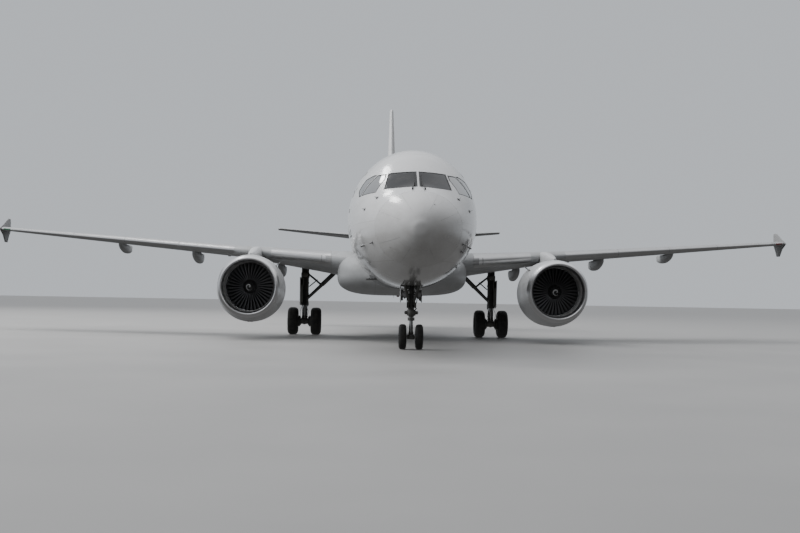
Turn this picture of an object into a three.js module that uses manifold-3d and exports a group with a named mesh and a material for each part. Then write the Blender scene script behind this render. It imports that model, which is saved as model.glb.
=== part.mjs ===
// A narrow-body twin-engined jet airliner parked on its gear, as a three.js scene graph.
// Units are millimetres, +Z is up, and the nose points along -Y, so the aircraft's left side is at +X.
// The origin lies on the ground under the middle of the overall length.
import * as THREE from "three";
import { mergeVertices } from "three/addons/utils/BufferGeometryUtils.js";
import Module from "manifold-3d";

const wasm = await Module();
wasm.setup();

// Driving dimensions. A station is a distance aft of the nose tip.
const LENGTH = 37570;
const SPAN = 34100;
const SEAM = 0.4; // gap between two pieces that touch
const MOVING_GAP = 6; // gap between a moving panel and its frame
const PIN_CLEARANCE = 0.7; // radial gap of a pin in its bore
const PIN_SIDES = 24;
const BEAD_SIDES = 16; // thin pins and hinge beads
const HALF_WIDTH = 1975;
const CROWN = 6020;
const KEEL = 1860;
const WAIST = 3900; // height of the widest level
const AROUND = 32; // points around a fuselage ring

const stationY = (station) => station - LENGTH / 2;

// Materials
const paint = (color, roughness = 0.35, metalness = 0) =>
  new THREE.MeshStandardMaterial({ color, roughness, metalness });
const whitePaint = paint(0xe4e6ea);
const greyPaint = paint(0xb4b8bd);
const radomePaint = paint(0xdcdee2, 0.45);
const polishedMetal = paint(0xc4c6ca, 0.22, 1);
const nickelAlloy = paint(0x6d6660, 0.4, 1);
const titaniumBlade = paint(0x2b2d31, 0.35, 1);
const darkGlass = paint(0x1b2127, 0.08);
const gearPaint = paint(0x8e9295, 0.45);
const wheelMetal = paint(0xa8aaad, 0.4, 1);
const tyreRubber = paint(0x16171a, 0.85);

// From a three.js geometry to a solid and back
function solid(geometry, matrix) {
  const bare = new THREE.BufferGeometry();
  bare.setAttribute("position", geometry.getAttribute("position").clone());
  if (geometry.index) bare.setIndex(geometry.index.clone());
  if (matrix) bare.applyMatrix4(matrix);
  const merged = mergeVertices(bare, 1e-3);
  return new wasm.Manifold(
    new wasm.Mesh({
      numProp: 3,
      vertProperties: new Float32Array(merged.attributes.position.array),
      triVerts: new Uint32Array(merged.index.array),
    }),
  );
}

function meshOf(name, shape, material) {
  const { vertProperties, triVerts } = shape.getMesh();
  const geometry = new THREE.BufferGeometry();
  geometry.setAttribute("position", new THREE.BufferAttribute(vertProperties, 3));
  geometry.setIndex(new THREE.BufferAttribute(triVerts, 1));
  geometry.computeVertexNormals();
  const mesh = new THREE.Mesh(geometry, material);
  mesh.name = name;
  return mesh;
}

const join = (...shapes) => shapes.reduce((sum, shape) => sum.add(shape));

// A closed skin over rings that have equally many points, with flat ends. A ring of one point is a tip.
function loft(rings) {
  const points = [];
  const faces = [];
  const count = Math.max(...rings.map((ring) => ring.length));
  const starts = rings.map((ring) => points.push(...ring) - ring.length);
  const at = (ring, k) => starts[ring] + (rings[ring].length === 1 ? 0 : k % count);
  for (let r = 0; r + 1 < rings.length; r++) {
    for (let k = 0; k < count; k++) {
      const [a, b, c, d] = [at(r, k), at(r, k + 1), at(r + 1, k + 1), at(r + 1, k)];
      if (a !== b) faces.push([a, b, c]);
      if (c !== d) faces.push([a, c, d]);
    }
  }
  [0, rings.length - 1].forEach((r) => {
    if (rings[r].length === 1) return;
    for (let k = 1; k + 1 < count; k++) {
      faces.push(r === 0 ? [at(r, 0), at(r, k + 1), at(r, k)] : [at(r, 0), at(r, k), at(r, k + 1)]);
    }
  });
  const geometry = new THREE.BufferGeometry().setFromPoints(points);
  geometry.setIndex(faces.flat());
  const shape = solid(geometry);
  if (shape.volume() > 0) return shape;
  geometry.setIndex(faces.map(([a, b, c]) => [a, c, b]).flat());
  return solid(geometry);
}

const vec = (x, y, z) => new THREE.Vector3(x, y, z);

// A straight round bar between two points, with a radius at each end
function bar(from, to, radius, endRadius = radius, sides = 16) {
  const along = to.clone().sub(from);
  const geometry = new THREE.CylinderGeometry(endRadius, radius, along.length(), sides);
  const turn = new THREE.Quaternion().setFromUnitVectors(vec(0, 1, 0), along.clone().normalize());
  const middle = from.clone().add(to).multiplyScalar(0.5);
  return solid(geometry, new THREE.Matrix4().compose(middle, turn, vec(1, 1, 1)));
}

// A block given by its ranges along X, Y and Z
function block([x0, x1], [y0, y1], [z0, z1]) {
  const geometry = new THREE.BoxGeometry(x1 - x0, y1 - y0, z1 - z0);
  return solid(geometry, new THREE.Matrix4().makeTranslation((x0 + x1) / 2, (y0 + y1) / 2, (z0 + z1) / 2));
}

// An outline of [across, up] pairs pushed from one depth to another along +Y
function prismAlongY(outline, from, to) {
  const shape = new THREE.Shape(outline.map(([x, z]) => new THREE.Vector2(x, z)));
  const geometry = new THREE.ExtrudeGeometry(shape, { depth: to - from, bevelEnabled: false });
  const stand = new THREE.Matrix4().makeRotationX(Math.PI / 2);
  return solid(geometry, new THREE.Matrix4().makeTranslation(0, to, 0).multiply(stand));
}

// An outline of [station, up] pairs pushed across the aircraft
function prismAlongX(outline, from, to) {
  const rings = [from, to].map((x) => outline.map(([s, z]) => vec(x, stationY(s), z)));
  return prism(rings);
}

// An outline of [x, station] pairs pushed upwards
function prismAlongZ(outline, from, to) {
  const rings = [from, to].map((z) => outline.map(([x, s]) => vec(x, stationY(s), z)));
  return prism(rings);
}

// A prism over two equal flat outlines
function prism([low, high]) {
  const flat = THREE.ShapeUtils.triangulateShape(flatten(low), []);
  const count = low.length;
  const faces = [];
  for (let k = 0; k < count; k++) {
    const next = (k + 1) % count;
    faces.push([k, next, count + next], [k, count + next, count + k]);
  }
  flat.forEach(([a, b, c]) => faces.push([a, c, b], [count + a, count + b, count + c]));
  const points = [...low, ...high];
  const geometry = new THREE.BufferGeometry().setFromPoints(points);
  for (const order of [(f) => f, ([a, b, c]) => [a, c, b]]) {
    // The side faces and the lids may need opposite turns, so each way round is tried
    for (const lid of [(f) => f, ([a, b, c]) => [a, c, b]]) {
      const sides = faces.slice(0, 2 * count).map(order);
      const lids = faces.slice(2 * count).map(lid);
      geometry.setIndex([...sides, ...lids].flat());
      try {
        const shape = solid(geometry);
        if (shape.volume() > 0) return shape;
      } catch {
        continue;
      }
    }
  }
  throw new Error("the outline of a prism crosses itself");
}

// The outline's own two directions, for the triangulation of its lids
function flatten(outline) {
  const [a, b] = ["x", "y", "z"].filter((axis) => outline.some((p) => p[axis] !== outline[0][axis]));
  return outline.map((p) => new THREE.Vector2(p[a], p[b]));
}

// A turned part about the Y axis from [station, radius] pairs, at a place across and up
function turned(profile, x, z, segments = 40) {
  const outline = profile.map(([station, radius]) => new THREE.Vector2(radius, stationY(station)));
  const geometry = new THREE.LatheGeometry(outline, segments, Math.PI / segments);
  const made = solid(geometry, new THREE.Matrix4().makeTranslation(x, 0, z));
  return made.volume() > 0 ? made : flip(geometry, new THREE.Matrix4().makeTranslation(x, 0, z));
}

function flip(geometry, matrix) {
  const index = geometry.index.array;
  for (let i = 0; i < index.length; i += 3) [index[i + 1], index[i + 2]] = [index[i + 2], index[i + 1]];
  return solid(geometry, matrix);
}

// The sizes at a place between two rows of a table, whose first column is the place
const rowBetween = (rows, at) => {
  const i = Math.min(Math.max(rows.findIndex((row) => row[0] >= at) - 1, 0), rows.length - 2);
  const [a, b] = [rows[i], rows[i + 1]];
  const t = (at - a[0]) / (b[0] - a[0]);
  return a.map((value, k) => value + (b[k] - value) * t);
};

// Pads that jacks bear on: their radius, how far they stand out, and where the wing's and the nose's lie
const JACKING_PAD = { radius: 60, proud: 24, gear: 50, below: 140, sides: 24 };
const WING_PAD = { x: 6800, station: 17000, skin: 3119 };
const NOSE_PAD = { station: 6400 };

function jackingPad(x, station, skin) {
  const { radius, proud, sides } = JACKING_PAD;
  const y = stationY(station);
  return bar(vec(x, y, skin - proud), vec(x, y, skin + 2 * proud), radius, radius, sides);
}

// Fuselage

const HULL_ROWS = [
  // station, crown, keel, half width, height of the widest level
  [60, 3545, 3085, 250, 3310],
  [200, 3745, 2900, 440, 3320],
  [500, 3990, 2690, 705, 3345],
  [900, 4215, 2500, 960, 3385],
  [1350, 4415, 2350, 1180, 3435],
  [1800, 4600, 2235, 1355, 3490],
  [2200, 4840, 2150, 1480, 3545],
  [2600, 5095, 2080, 1585, 3600],
  [3000, 5330, 2025, 1670, 3655],
  [3600, 5640, 1970, 1768, 3725],
  [4300, 5865, 1920, 1850, 3790],
  [5200, 5985, 1880, 1925, 3850],
  [6300, 6014, 1862, 1965, 3885],
  [7500, CROWN, KEEL, HALF_WIDTH, WAIST],
  [24200, CROWN, KEEL, HALF_WIDTH, WAIST],
  [25600, CROWN, 1945, 1962, 3920],
  [27200, 6010, 2210, 1905, 4010],
  [29000, 5980, 2630, 1780, 4140],
  [31000, 5905, 3110, 1560, 4320],
  [33000, 5775, 3590, 1240, 4540],
  [35000, 5575, 4030, 850, 4740],
  [36500, 5380, 4325, 530, 4840],
  [LENGTH, 5205, 4530, 290, 4870],
];
const NOSE_TIP_HEIGHT = 3305;

// The row of hull sizes at a station, on a smooth curve through the table
function hullAt(station) {
  const last = HULL_ROWS.length - 1;
  const found = HULL_ROWS.findIndex((row) => row[0] > station);
  const i = Math.min(Math.max(found < 0 ? last - 1 : found - 1, 0), last - 1);
  const [a, b] = [HULL_ROWS[i], HULL_ROWS[i + 1]];
  const width = b[0] - a[0];
  const t = (station - a[0]) / width;
  const slope = (k, column) => {
    const [p, q] = [HULL_ROWS[Math.max(k - 1, 0)], HULL_ROWS[Math.min(k + 1, last)]];
    const here = HULL_ROWS[k];
    const before = (here[column] - p[column]) / Math.max(here[0] - p[0], 1);
    const after = (q[column] - here[column]) / Math.max(q[0] - here[0], 1);
    if (k === 0) return after;
    if (k === last) return before;
    if (before * after <= 0) return 0;
    return (2 * before * after) / (before + after); // harmonic mean, so that the curve doesn't overshoot
  };
  return [1, 2, 3, 4].map((column) => {
    const [m0, m1] = [slope(i, column) * width, slope(i + 1, column) * width];
    const [p0, p1] = [a[column], b[column]];
    const [t2, t3] = [t * t, t * t * t];
    return (2 * t3 - 3 * t2 + 1) * p0 + (t3 - 2 * t2 + t) * m0 + (3 * t2 - 2 * t3) * p1 + (t3 - t2) * m1;
  });
}

// A closed ring of the hull at a station. grow is how far it lies outside the skin.
function hullRing(station, grow = 0) {
  const [crown, keel, half, waist] = hullAt(station);
  return Array.from({ length: AROUND }, (_, k) => {
    const angle = (2 * Math.PI * (k + 0.5)) / AROUND;
    const up = Math.sin(angle);
    const reach = (up > 0 ? crown - waist : waist - keel) + grow;
    return vec((half + grow) * Math.cos(angle), stationY(station), waist + reach * up);
  });
}

const HULL_STATIONS = [
  60, 200, 500, 900, 1350, 1800, 2200, 2600, 3000, 3600, 4300, 5200, 6300, 7500, 11500, 20700, 24200, 25600,
  27200, 29000, 31000, 33000, 34800, 35900, 36500, LENGTH,
];

// The hull between two stations, as a solid
function hullPiece(from, to, grow = 0) {
  const inner = HULL_STATIONS.filter((s) => s > from + 1 && s < to - 1);
  const rings = [from, ...inner, to].map((s) => hullRing(s, grow));
  return loft(rings);
}

const RADOME_END = 1350;
const FORWARD_END = 11500;
const CENTRE_END = 20700;
const AFT_END = 35900;

// The radome lifts about a bead across its top edge. depth is how far the bead's middle lies below the skin.
const RADOME_HINGE = { half: 150, radius: 15, behind: 6, depth: 5, arm: 8 };

const radomeBead = (radius, half) => {
  const [y, z] = [stationY(RADOME_END + RADOME_HINGE.behind), hullAt(RADOME_END)[0] - RADOME_HINGE.depth];
  return bar(vec(-half, y, z), vec(half, y, z), radius, radius, BEAD_SIDES);
};

function radome() {
  const rings = [60, 200, 500, 900, RADOME_END - MOVING_GAP].map((s) => hullRing(s));
  const { half, radius, behind, depth, arm } = RADOME_HINGE;
  const z = hullAt(RADOME_END)[0] - depth;
  const arms = block([-half, half], [stationY(RADOME_END - 2 * MOVING_GAP), stationY(RADOME_END + behind)],
    [z - arm, z + arm]);
  return loft([[vec(0, stationY(0), NOSE_TIP_HEIGHT)], ...rings]).add(arms).add(radomeBead(radius, half));
}

// Flight deck glazing: outlines and the depth of the panes
const PANE_DEPTH = 60;
const POST_HALF = 45;
const POST_WIDTH = 80;
const WINDSHIELD = [
  // across, up, seen from ahead
  [POST_HALF, 4575],
  [925, 4520],
  [790, 5020],
  [POST_HALF, 5060],
];
const SIDE_GLAZING = [
  // station, up, seen from the side
  [2330, 4440],
  [3420, 4405],
  [3800, 4600],
  [3700, 4900],
  [3330, 5000],
  [2720, 4985],
];
const PANE_SEAM = 3; // rubber seal around each pane

const mirrorOutline = (outline, side) => outline.map(([x, z]) => [side * x, z]);

function grown(outline, by) {
  const [cx, cz] = [0, 1].map((k) => outline.reduce((sum, p) => sum + p[k], 0) / outline.length);
  return outline.map(([x, z]) => {
    const length = Math.hypot(x - cx, z - cz);
    return [x + ((x - cx) * by) / length, z + ((z - cz) * by) / length];
  });
}

const STRIP = { depth: 35, half: 90, low: 4640, high: 4980 }; // joins the front panes behind their post

// The layer of the hull around the flight deck between two depths below the skin
const hullLayer = (outer, inner) => hullPiece(1400, 4300, -outer).subtract(hullPiece(1380, 4700, -inner));

const paneStrip = (by) =>
  hullLayer(STRIP.depth - by, PANE_DEPTH + by).intersect(block(
    [-STRIP.half, STRIP.half], [stationY(1400), stationY(3300)], [STRIP.low - by, STRIP.high + by]));

const windshield = () =>
  join(windshieldTool(1), windshieldTool(-1)).intersect(hullLayer(0, PANE_DEPTH)).add(paneStrip(0));
const sideGlazing = (side) => hullLayer(0, PANE_DEPTH).intersect(sideGlazingTool(side));

const windshieldTool = (side, by = 0) =>
  prismAlongY(mirrorOutline(grown(WINDSHIELD, by), side), stationY(1400), stationY(3300));
const sideGlazingTool = (side, by = 0) => {
  const [near, far] = side > 0 ? [700, 2100] : [-2100, -700];
  return prismAlongX(grown(SIDE_GLAZING, by), near, far).subtract(windshieldTool(side, POST_WIDTH - by));
};

// Cargo holds: one ahead of the wing and one behind it, with a door in the right side
const DOOR_THICKNESS = 120;
const DOOR_SEAM = 8;
const DOOR_ANGLES = [16, 60]; // degrees below level of its top and bottom edges, from the waist's middle
const HOLD_FLOOR = 2130;
const HOLD_ROOF = 3260;
const HOLD_FAR_SIDE = 900; // how far the hold reaches past the middle, to the left
const CARGO_DOORS = [
  // name, first station, last station
  { name: "cargo_door_forward", from: 8350, to: 10170 },
  { name: "cargo_door_aft", from: 22300, to: 24120 },
];
const DOOR_HINGE = { x: -1896, z: WAIST - 542, radius: 14, endGap: 12 };

// The wedge that a cargo door is cut with, its edges square to the skin. by is the gap around it.
function doorBlock({ from, to }, by = 0) {
  const ends = DOOR_ANGLES.map((degrees, k) => {
    const angle = THREE.MathUtils.degToRad(degrees);
    const out = [-Math.cos(angle), -Math.sin(angle)];
    const across = k === 0 ? [out[1], -out[0]] : [-out[1], out[0]];
    const start = [by * across[0], WAIST + by * across[1]];
    return [400, 2600].map((reach) => [start[0] + out[0] * reach, start[1] + out[1] * reach]);
  });
  const outline = [ends[0][0], ends[0][1], ends[1][1], ends[1][0]];
  return prismAlongY(outline, stationY(from - by), stationY(to + by));
}
const holdBlock = ({ from, to }) =>
  block([-2400, HOLD_FAR_SIDE], [stationY(from + 40), stationY(to - 40)], [HOLD_FLOOR, HOLD_ROOF]);

function cargoDoor(row) {
  const skin = hullPiece(row.from - 900, row.to + 900).subtract(
    hullPiece(row.from - 1000, row.to + 1000, -DOOR_THICKNESS),
  );
  return skin.intersect(doorBlock(row)).add(doorPin(row, DOOR_HINGE.radius, DOOR_HINGE.endGap));
}

// The round bead of a cargo door's hinge, along its top edge
const doorPin = ({ from, to }, radius, endGap) => {
  const [a, b] = [from + endGap, to - endGap].map((s) => vec(DOOR_HINGE.x, stationY(s), DOOR_HINGE.z));
  return bar(a, b, radius, radius, BEAD_SIDES);
};

const openHold = (shape, row) =>
  shape
    .subtract(doorBlock(row, DOOR_SEAM))
    .subtract(holdBlock(row))
    .subtract(doorPin(row, DOOR_HINGE.radius + PIN_CLEARANCE, 0));

// Nose gear bay
const NOSE_BAY = { half: 330, from: 4650, to: 5750, roof: 2450 };

function forwardFuselage() {
  const panes = [1, -1].flatMap((side) =>
    [windshieldTool(side, PANE_SEAM), sideGlazingTool(side, PANE_SEAM)]);
  const core = hullPiece(1340, 4400, -PANE_DEPTH - SEAM);
  const recess = join(...panes).subtract(core).add(paneStrip(SEAM));
  const bay = block(
    [-NOSE_BAY.half, NOSE_BAY.half],
    [stationY(NOSE_BAY.from), stationY(NOSE_BAY.to)],
    [KEEL - 400, NOSE_BAY.roof],
  );
  const bead = radomeBead(RADOME_HINGE.radius + PIN_CLEARANCE, RADOME_HINGE.half + MOVING_GAP);
  const whole = hullPiece(RADOME_END, FORWARD_END).subtract(recess).subtract(bay).subtract(bead);
  return openHold(whole, CARGO_DOORS[0]).add(jackingPad(0, NOSE_PAD.station, hullAt(NOSE_PAD.station)[1]));
}

const centreFuselage = () => hullPiece(FORWARD_END + SEAM, CENTRE_END);
const aftFuselage = () => openHold(hullPiece(CENTRE_END + SEAM, AFT_END), CARGO_DOORS[1]);

const TAIL_EXHAUST = { depth: 420, radius: 200, past: 50 };

function tailCone() {
  const cone = hullPiece(AFT_END + SEAM, LENGTH);
  const [crown, keel] = hullAt(LENGTH);
  const { depth, radius, past } = TAIL_EXHAUST;
  const [from, to] = [LENGTH - depth, LENGTH + past];
  const outline = [[from, 0], [from, radius], [to, radius], [to, 0]];
  return cone.subtract(turned(outline, 0, (crown + keel) / 2, 24));
}

// Belly fairing
const FAIRING_ROWS = [
  // station, half width, bottom, top, squareness of the corners
  [10300, 1250, 1850, 2900, 2.2],
  [11500, 1900, 1770, 3050, 2.6],
  [13000, 2330, 1680, 3250, 3.2],
  [15000, 2430, 1640, 3320, 3.6],
  [18500, 2430, 1640, 3320, 3.6],
  [20600, 2250, 1680, 3250, 3.2],
  [21700, 1850, 1760, 3050, 2.6],
  [22400, 1350, 1840, 2900, 2.2],
];
const FAIRING_POINTS = 24;

function fairingRing([station, half, bottom, top, power], grow = 0) {
  const [middle, reach] = [(top + bottom) / 2, (top - bottom) / 2 + grow];
  const round = (value) => Math.sign(value) * Math.abs(value) ** (2 / power);
  return Array.from({ length: FAIRING_POINTS }, (_, k) => {
    const angle = (2 * Math.PI * (k + 0.5)) / FAIRING_POINTS;
    const [across, up] = [(half + grow) * round(Math.cos(angle)), reach * round(Math.sin(angle))];
    return vec(across, stationY(station), middle + up);
  });
}

const fairingHull = (grow = 0) => loft(FAIRING_ROWS.map((row) => fairingRing(row, grow)));
const hullCutter = (grow) => hullPiece(9000, 25000, grow);
const bellyFairing = () =>
  fairingHull().subtract(hullCutter(SEAM)).subtract(doorBlock(CARGO_DOORS[1], MOVING_GAP));

// Wings

const WING_ROWS = [
  // across, station of the leading edge, chord, height of the leading edge, thickness share, nose-up degrees
  { x: 1500, edge: 12350, chord: 6480, height: 2800, thick: 0.15, twist: 4.5 },
  { x: 2900, edge: 13370, chord: 5440, height: 2950, thick: 0.145, twist: 4.2 },
  { x: 6300, edge: 15110, chord: 3740, height: 3270, thick: 0.118, twist: 2.2 },
  { x: 16900, edge: 20520, chord: 1540, height: 4215, thick: 0.108, twist: -0.5 },
];
const FOIL_HALF_POINTS = 10;
const CAMBER = 0.018;

// Half the thickness of a wing section at a share of its chord, as a share of the chord
const foilHalf = (share, thick) =>
  5 * thick * (0.2969 * Math.sqrt(share) - 0.126 * share - 0.3516 * share ** 2 + 0.2843 * share ** 3 -
    0.1008 * share ** 4);
const foilMiddle = (share) => CAMBER * 4 * share * (1 - share);

// A section as [share of chord aft, share of chord up] pairs, from the trailing edge over the top and back
function foilOutline(thick, camber = 1) {
  const shares = Array.from(
    { length: FOIL_HALF_POINTS },
    (_, k) => (1 - Math.cos((Math.PI * k) / (FOIL_HALF_POINTS - 1))) / 2,
  );
  const line = (share, side) => [share, camber * foilMiddle(share) + side * foilHalf(share, thick)];
  const upper = [...shares].reverse().map((share) => line(share, 1));
  const lower = shares.slice(1).map((share) => line(share, -1));
  return [...upper, ...lower];
}

function wingRing(row, side, shrink = 0) {
  const turn = THREE.MathUtils.degToRad(row.twist);
  return foilOutline(row.thick - shrink).map(([aft, up]) => {
    const [s, z] = [aft * row.chord, up * row.chord];
    return vec(
      side * row.x,
      stationY(row.edge + s * Math.cos(turn) + z * Math.sin(turn)),
      row.height + z * Math.cos(turn) - s * Math.sin(turn),
    );
  });
}

// The wing's sizes at a distance across, between its rows
function wingAt(x) {
  const i = Math.max(WING_ROWS.findIndex((row) => row.x >= x) - 1, 0);
  const [a, b] = [WING_ROWS[i], WING_ROWS[i + 1] ?? WING_ROWS[i]];
  const t = (x - a.x) / (b.x - a.x);
  return Object.fromEntries(Object.keys(a).map((key) => [key, a[key] + (b[key] - a[key]) * t]));
}

// A point inside the wing at a share of its chord, on its middle line
function wingPoint(x, share) {
  const row = wingAt(x);
  const turn = THREE.MathUtils.degToRad(row.twist);
  const [s, z] = [share * row.chord, foilMiddle(share) * row.chord];
  return vec(
    x,
    stationY(row.edge + s * Math.cos(turn) + z * Math.sin(turn)),
    row.height + z * Math.cos(turn) - s * Math.sin(turn),
  );
}

const REAR_MARGIN = 300; // how far a cutting outline reaches behind the trailing edge
const FLAP_SEAM = 8;
const INNER_FLAP = { from: 2560, to: 6250, front: 17960, back: 18870 };
const OUTER_FLAP = { from: 6330, to: 13250, share: 0.74 };
const AILERON = { from: 13360, to: 15950, share: 0.73, endGap: 28, pin: 22 };

const sided = (outline, side) => outline.map(([x, s]) => [side * x, s]);

function innerFlapOutline(side, by = 0, ahead = 0) {
  const { from, to, front } = INNER_FLAP;
  const back = INNER_FLAP.back + REAR_MARGIN;
  const [a, b] = [from - by, to + by];
  return sided([[a, front - ahead], [b, front - ahead], [b, back], [a, back]], side);
}

// The part of the wing behind a share of the chord, between two distances across
function rearOutline({ from, to, share }, side, by = 0, ahead = 0) {
  const front = (x) => {
    const row = wingAt(x);
    return row.edge + share * row.chord - ahead;
  };
  const back = (x) => {
    const row = wingAt(x);
    return row.edge + row.chord + REAR_MARGIN;
  };
  const [a, b] = [from - by, to + by];
  return sided([[a, front(a)], [b, front(b)], [b, back(b)], [a, back(a)]], side);
}

const WING_LOW = 1500;
const WING_HIGH = 5200;
const overWing = (outline) => prismAlongZ(outline, WING_LOW, WING_HIGH);

// A hinged surface: its round nose about the hinge line, its pins, and the room that it needs in its parent
function hingedNose(from, to, radii, pin, clearance) {
  const along = to.clone().sub(from).normalize();
  const reach = 75;
  const pinFrom = from.clone().addScaledVector(along, -reach);
  const pinTo = to.clone().addScaledVector(along, reach);
  const past = 45;
  const noseFrom = from.clone().addScaledVector(along, -past);
  const noseTo = to.clone().addScaledVector(along, past);
  return {
    nose: bar(from, to, radii[0], radii[1], 12),
    pins: bar(pinFrom, pinTo, pin, pin, BEAD_SIDES),
    cove: bar(noseFrom, noseTo, radii[0] + clearance, radii[1] + clearance, 14),
    bore: bar(
      pinFrom.clone().addScaledVector(along, -PIN_CLEARANCE),
      pinTo.clone().addScaledVector(along, PIN_CLEARANCE),
      pin + PIN_CLEARANCE,
      pin + PIN_CLEARANCE,
      BEAD_SIDES,
    ),
  };
}

function aileronHinge(side) {
  const [a, b] = [AILERON.from, AILERON.to].map((x) => wingPoint(x, AILERON.share));
  const radii = [AILERON.from, AILERON.to].map((x) => {
    const row = wingAt(x);
    return foilHalf(AILERON.share, row.thick) * row.chord * 0.97;
  });
  [a, b].forEach((point) => (point.x *= side));
  return hingedNose(a, b, radii, AILERON.pin, 34);
}

const wingBody = (side) => loft(WING_ROWS.map((row) => wingRing(row, side)));

// Fairings over the flap tracks, under the wing: long drops with a flat top inside the wing
const FLAP_FAIRINGS = [
  // across, first station, length, half width, depth below the wing
  { x: 4750, from: 16500, length: 3050, half: 170, depth: 420 },
  { x: 8250, from: 16950, length: 3150, half: 165, depth: 400 },
  { x: 11550, from: 18650, length: 2750, half: 145, depth: 350 },
];
const FAIRING_SHAPE = [
  // share of the length, share of the width, share of the depth at the bottom
  [0, 0.08, 0.0],
  [0.18, 0.75, 0.6],
  [0.5, 1, 1],
  [0.8, 0.68, 0.92],
  [1, 0.1, 0.62],
];

function flapFairing({ x, from, length, half, depth }, side) {
  const row = wingAt(x);
  const top = row.height - Math.sin(THREE.MathUtils.degToRad(row.twist)) * row.chord * 0.75;
  const skin = foilHalf(0.7, row.thick) * row.chord;
  const rings = FAIRING_SHAPE.map(([share, wide, deep]) => {
    const bottom = top - skin - depth * deep - 20;
    const roof = top - 10;
    const [middle, reach] = [(roof + bottom) / 2, (roof - bottom) / 2];
    return Array.from({ length: 8 }, (_, k) => {
      const angle = (2 * Math.PI * (k + 0.5)) / 8;
      const cross = side * x + half * wide * Math.cos(angle);
      return vec(cross, stationY(from + share * length), middle + reach * Math.sin(angle));
    });
  });
  return loft(rings);
}

function wing(side) {
  const hinge = aileronHinge(side);
  let made = wingBody(side)
    .subtract(overWing(innerFlapOutline(side, FLAP_SEAM, SEAM)))
    .subtract(overWing(rearOutline(OUTER_FLAP, side, FLAP_SEAM, SEAM)))
    .subtract(overWing(rearOutline({ ...AILERON, from: AILERON.from - AILERON.endGap,
      to: AILERON.to + AILERON.endGap }, side)))
    .subtract(hinge.cove)
    .subtract(hinge.bore);
  FLAP_FAIRINGS.forEach((row) => {
    const pod = flapFairing(row, side);
    made = made.add(pod.subtract(flapRoom(row, side)));
  });
  made = made.add(jackingPad(side * WING_PAD.x, WING_PAD.station, WING_PAD.skin));
  return made.subtract(hullCutter(SEAM)).subtract(fairingHull(SEAM));
}

// The room above a flap fairing that belongs to the flaps, cut a little below the wing's under skin
function flapRoom({ x, from, length }, side) {
  const row = wingAt(x);
  const front = row.edge + 0.7 * row.chord;
  const rise = Math.tan(THREE.MathUtils.degToRad(row.twist));
  const low = row.height - rise * (0.7 * row.chord) - foilHalf(0.7, row.thick) * row.chord - 14;
  const back = from + length + 100;
  const fall = rise * (back - front);
  const outline = [[front, low], [back, low - fall * 0.25], [back, low + 900], [front, low + 900]];
  const [near, far] = [side * x - 400, side * x + 400];
  return prismAlongX(outline, near, far);
}

function flap(side, which) {
  const outline = which === "inner" ? innerFlapOutline(side) : rearOutline(OUTER_FLAP, side);
  return wingBody(side).intersect(overWing(outline));
}

function aileron(side) {
  const hinge = aileronHinge(side);
  const panel = wingBody(side).intersect(overWing(rearOutline(AILERON, side, 0, -SEAM)));
  return panel.add(hinge.nose).add(hinge.pins);
}

// Wing tip fences: one panel up and one down from the tip, swept back
const FENCE_HALF = 28;
const FENCE_CREST = 0.35; // share of the chord at which a fence is thickest
const FENCE_ROWS = [
  // up from the tip, first station, chord
  [-530, 21250, 400],
  [-230, 20930, 940],
  [0, 20440, 1640],
  [230, 21030, 1030],
  [510, 21650, 380],
];

function fence(side) {
  const tip = WING_ROWS[WING_ROWS.length - 1];
  const outer = SPAN / 2;
  const rings = FENCE_ROWS.map(([up, from, chord]) => {
    return [
      [outer - FENCE_HALF, from],
      [outer - 2 * FENCE_HALF, from + chord * FENCE_CREST],
      [outer - FENCE_HALF, from + chord],
      [outer, from + chord * FENCE_CREST],
    ].map(([x, s]) => vec(side * x, stationY(s), tip.height + up));
  });
  const root = loft([
    wingRing({ ...tip, x: tip.x + SEAM }, side),
    wingRing({ ...tip, x: SPAN / 2 - 40, edge: tip.edge + 60, chord: tip.chord - 120, thick: 0.086 }, side),
  ]);
  const across = [side * (tip.x - 900), side * (tip.x + SEAM)].sort((a, b) => a - b);
  const wingSide = block(across, [stationY(20300), stationY(22300)], [tip.height - 90, tip.height + 60]);
  return loft(rings).add(root).subtract(wingSide);
}

// Tail surfaces

const TAIL_FOIL = 0.1;

function tailRing(place, edge, chord, thick) {
  return foilOutline(thick, 0).map(([aft, up]) => place(stationY(edge + aft * chord), up * chord));
}

const FIN_ROWS = [
  // height, station of the leading edge, chord
  [5350, 28950, 6450],
  [6500, 30130, 5520],
  [12000, 34500, 1930],
];
const RUDDER = { from: 6420, to: 11560, share: 0.7, endGap: 45, pin: 30 };
const DORSAL_ROWS = [
  // height, station of the leading edge, chord
  [5300, 26900, 3400],
  [5960, 27900, 3100],
  [6700, 30000, 1900],
];
const DORSAL_FOIL = 0.08;

const upright = (rows, thick) =>
  loft(rows.map(([z, edge, chord]) => tailRing((y, up) => vec(up, y, z), edge, chord, thick)));
const finBody = () => upright(FIN_ROWS, TAIL_FOIL);

function finRearOutline({ from, to, share }, by) {
  const line = (z) => {
    const [, edge, chord] = rowBetween(FIN_ROWS, z);
    return edge + share * chord;
  };
  const [a, b] = [from - by, to + by];
  return [[line(a), a], [line(b), b], [line(b) + 2500, b], [line(a) + 2500, a]];
}

function rudderHinge() {
  const ends = [RUDDER.from, RUDDER.to].map((z) => {
    const [, edge, chord] = rowBetween(FIN_ROWS, z);
    const point = vec(0, stationY(edge + RUDDER.share * chord), z);
    return { point, half: foilHalf(RUDDER.share, TAIL_FOIL) * chord };
  });
  return hingedNose(ends[0].point, ends[1].point, ends.map((end) => end.half * 0.97), RUDDER.pin, 26);
}

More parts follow.
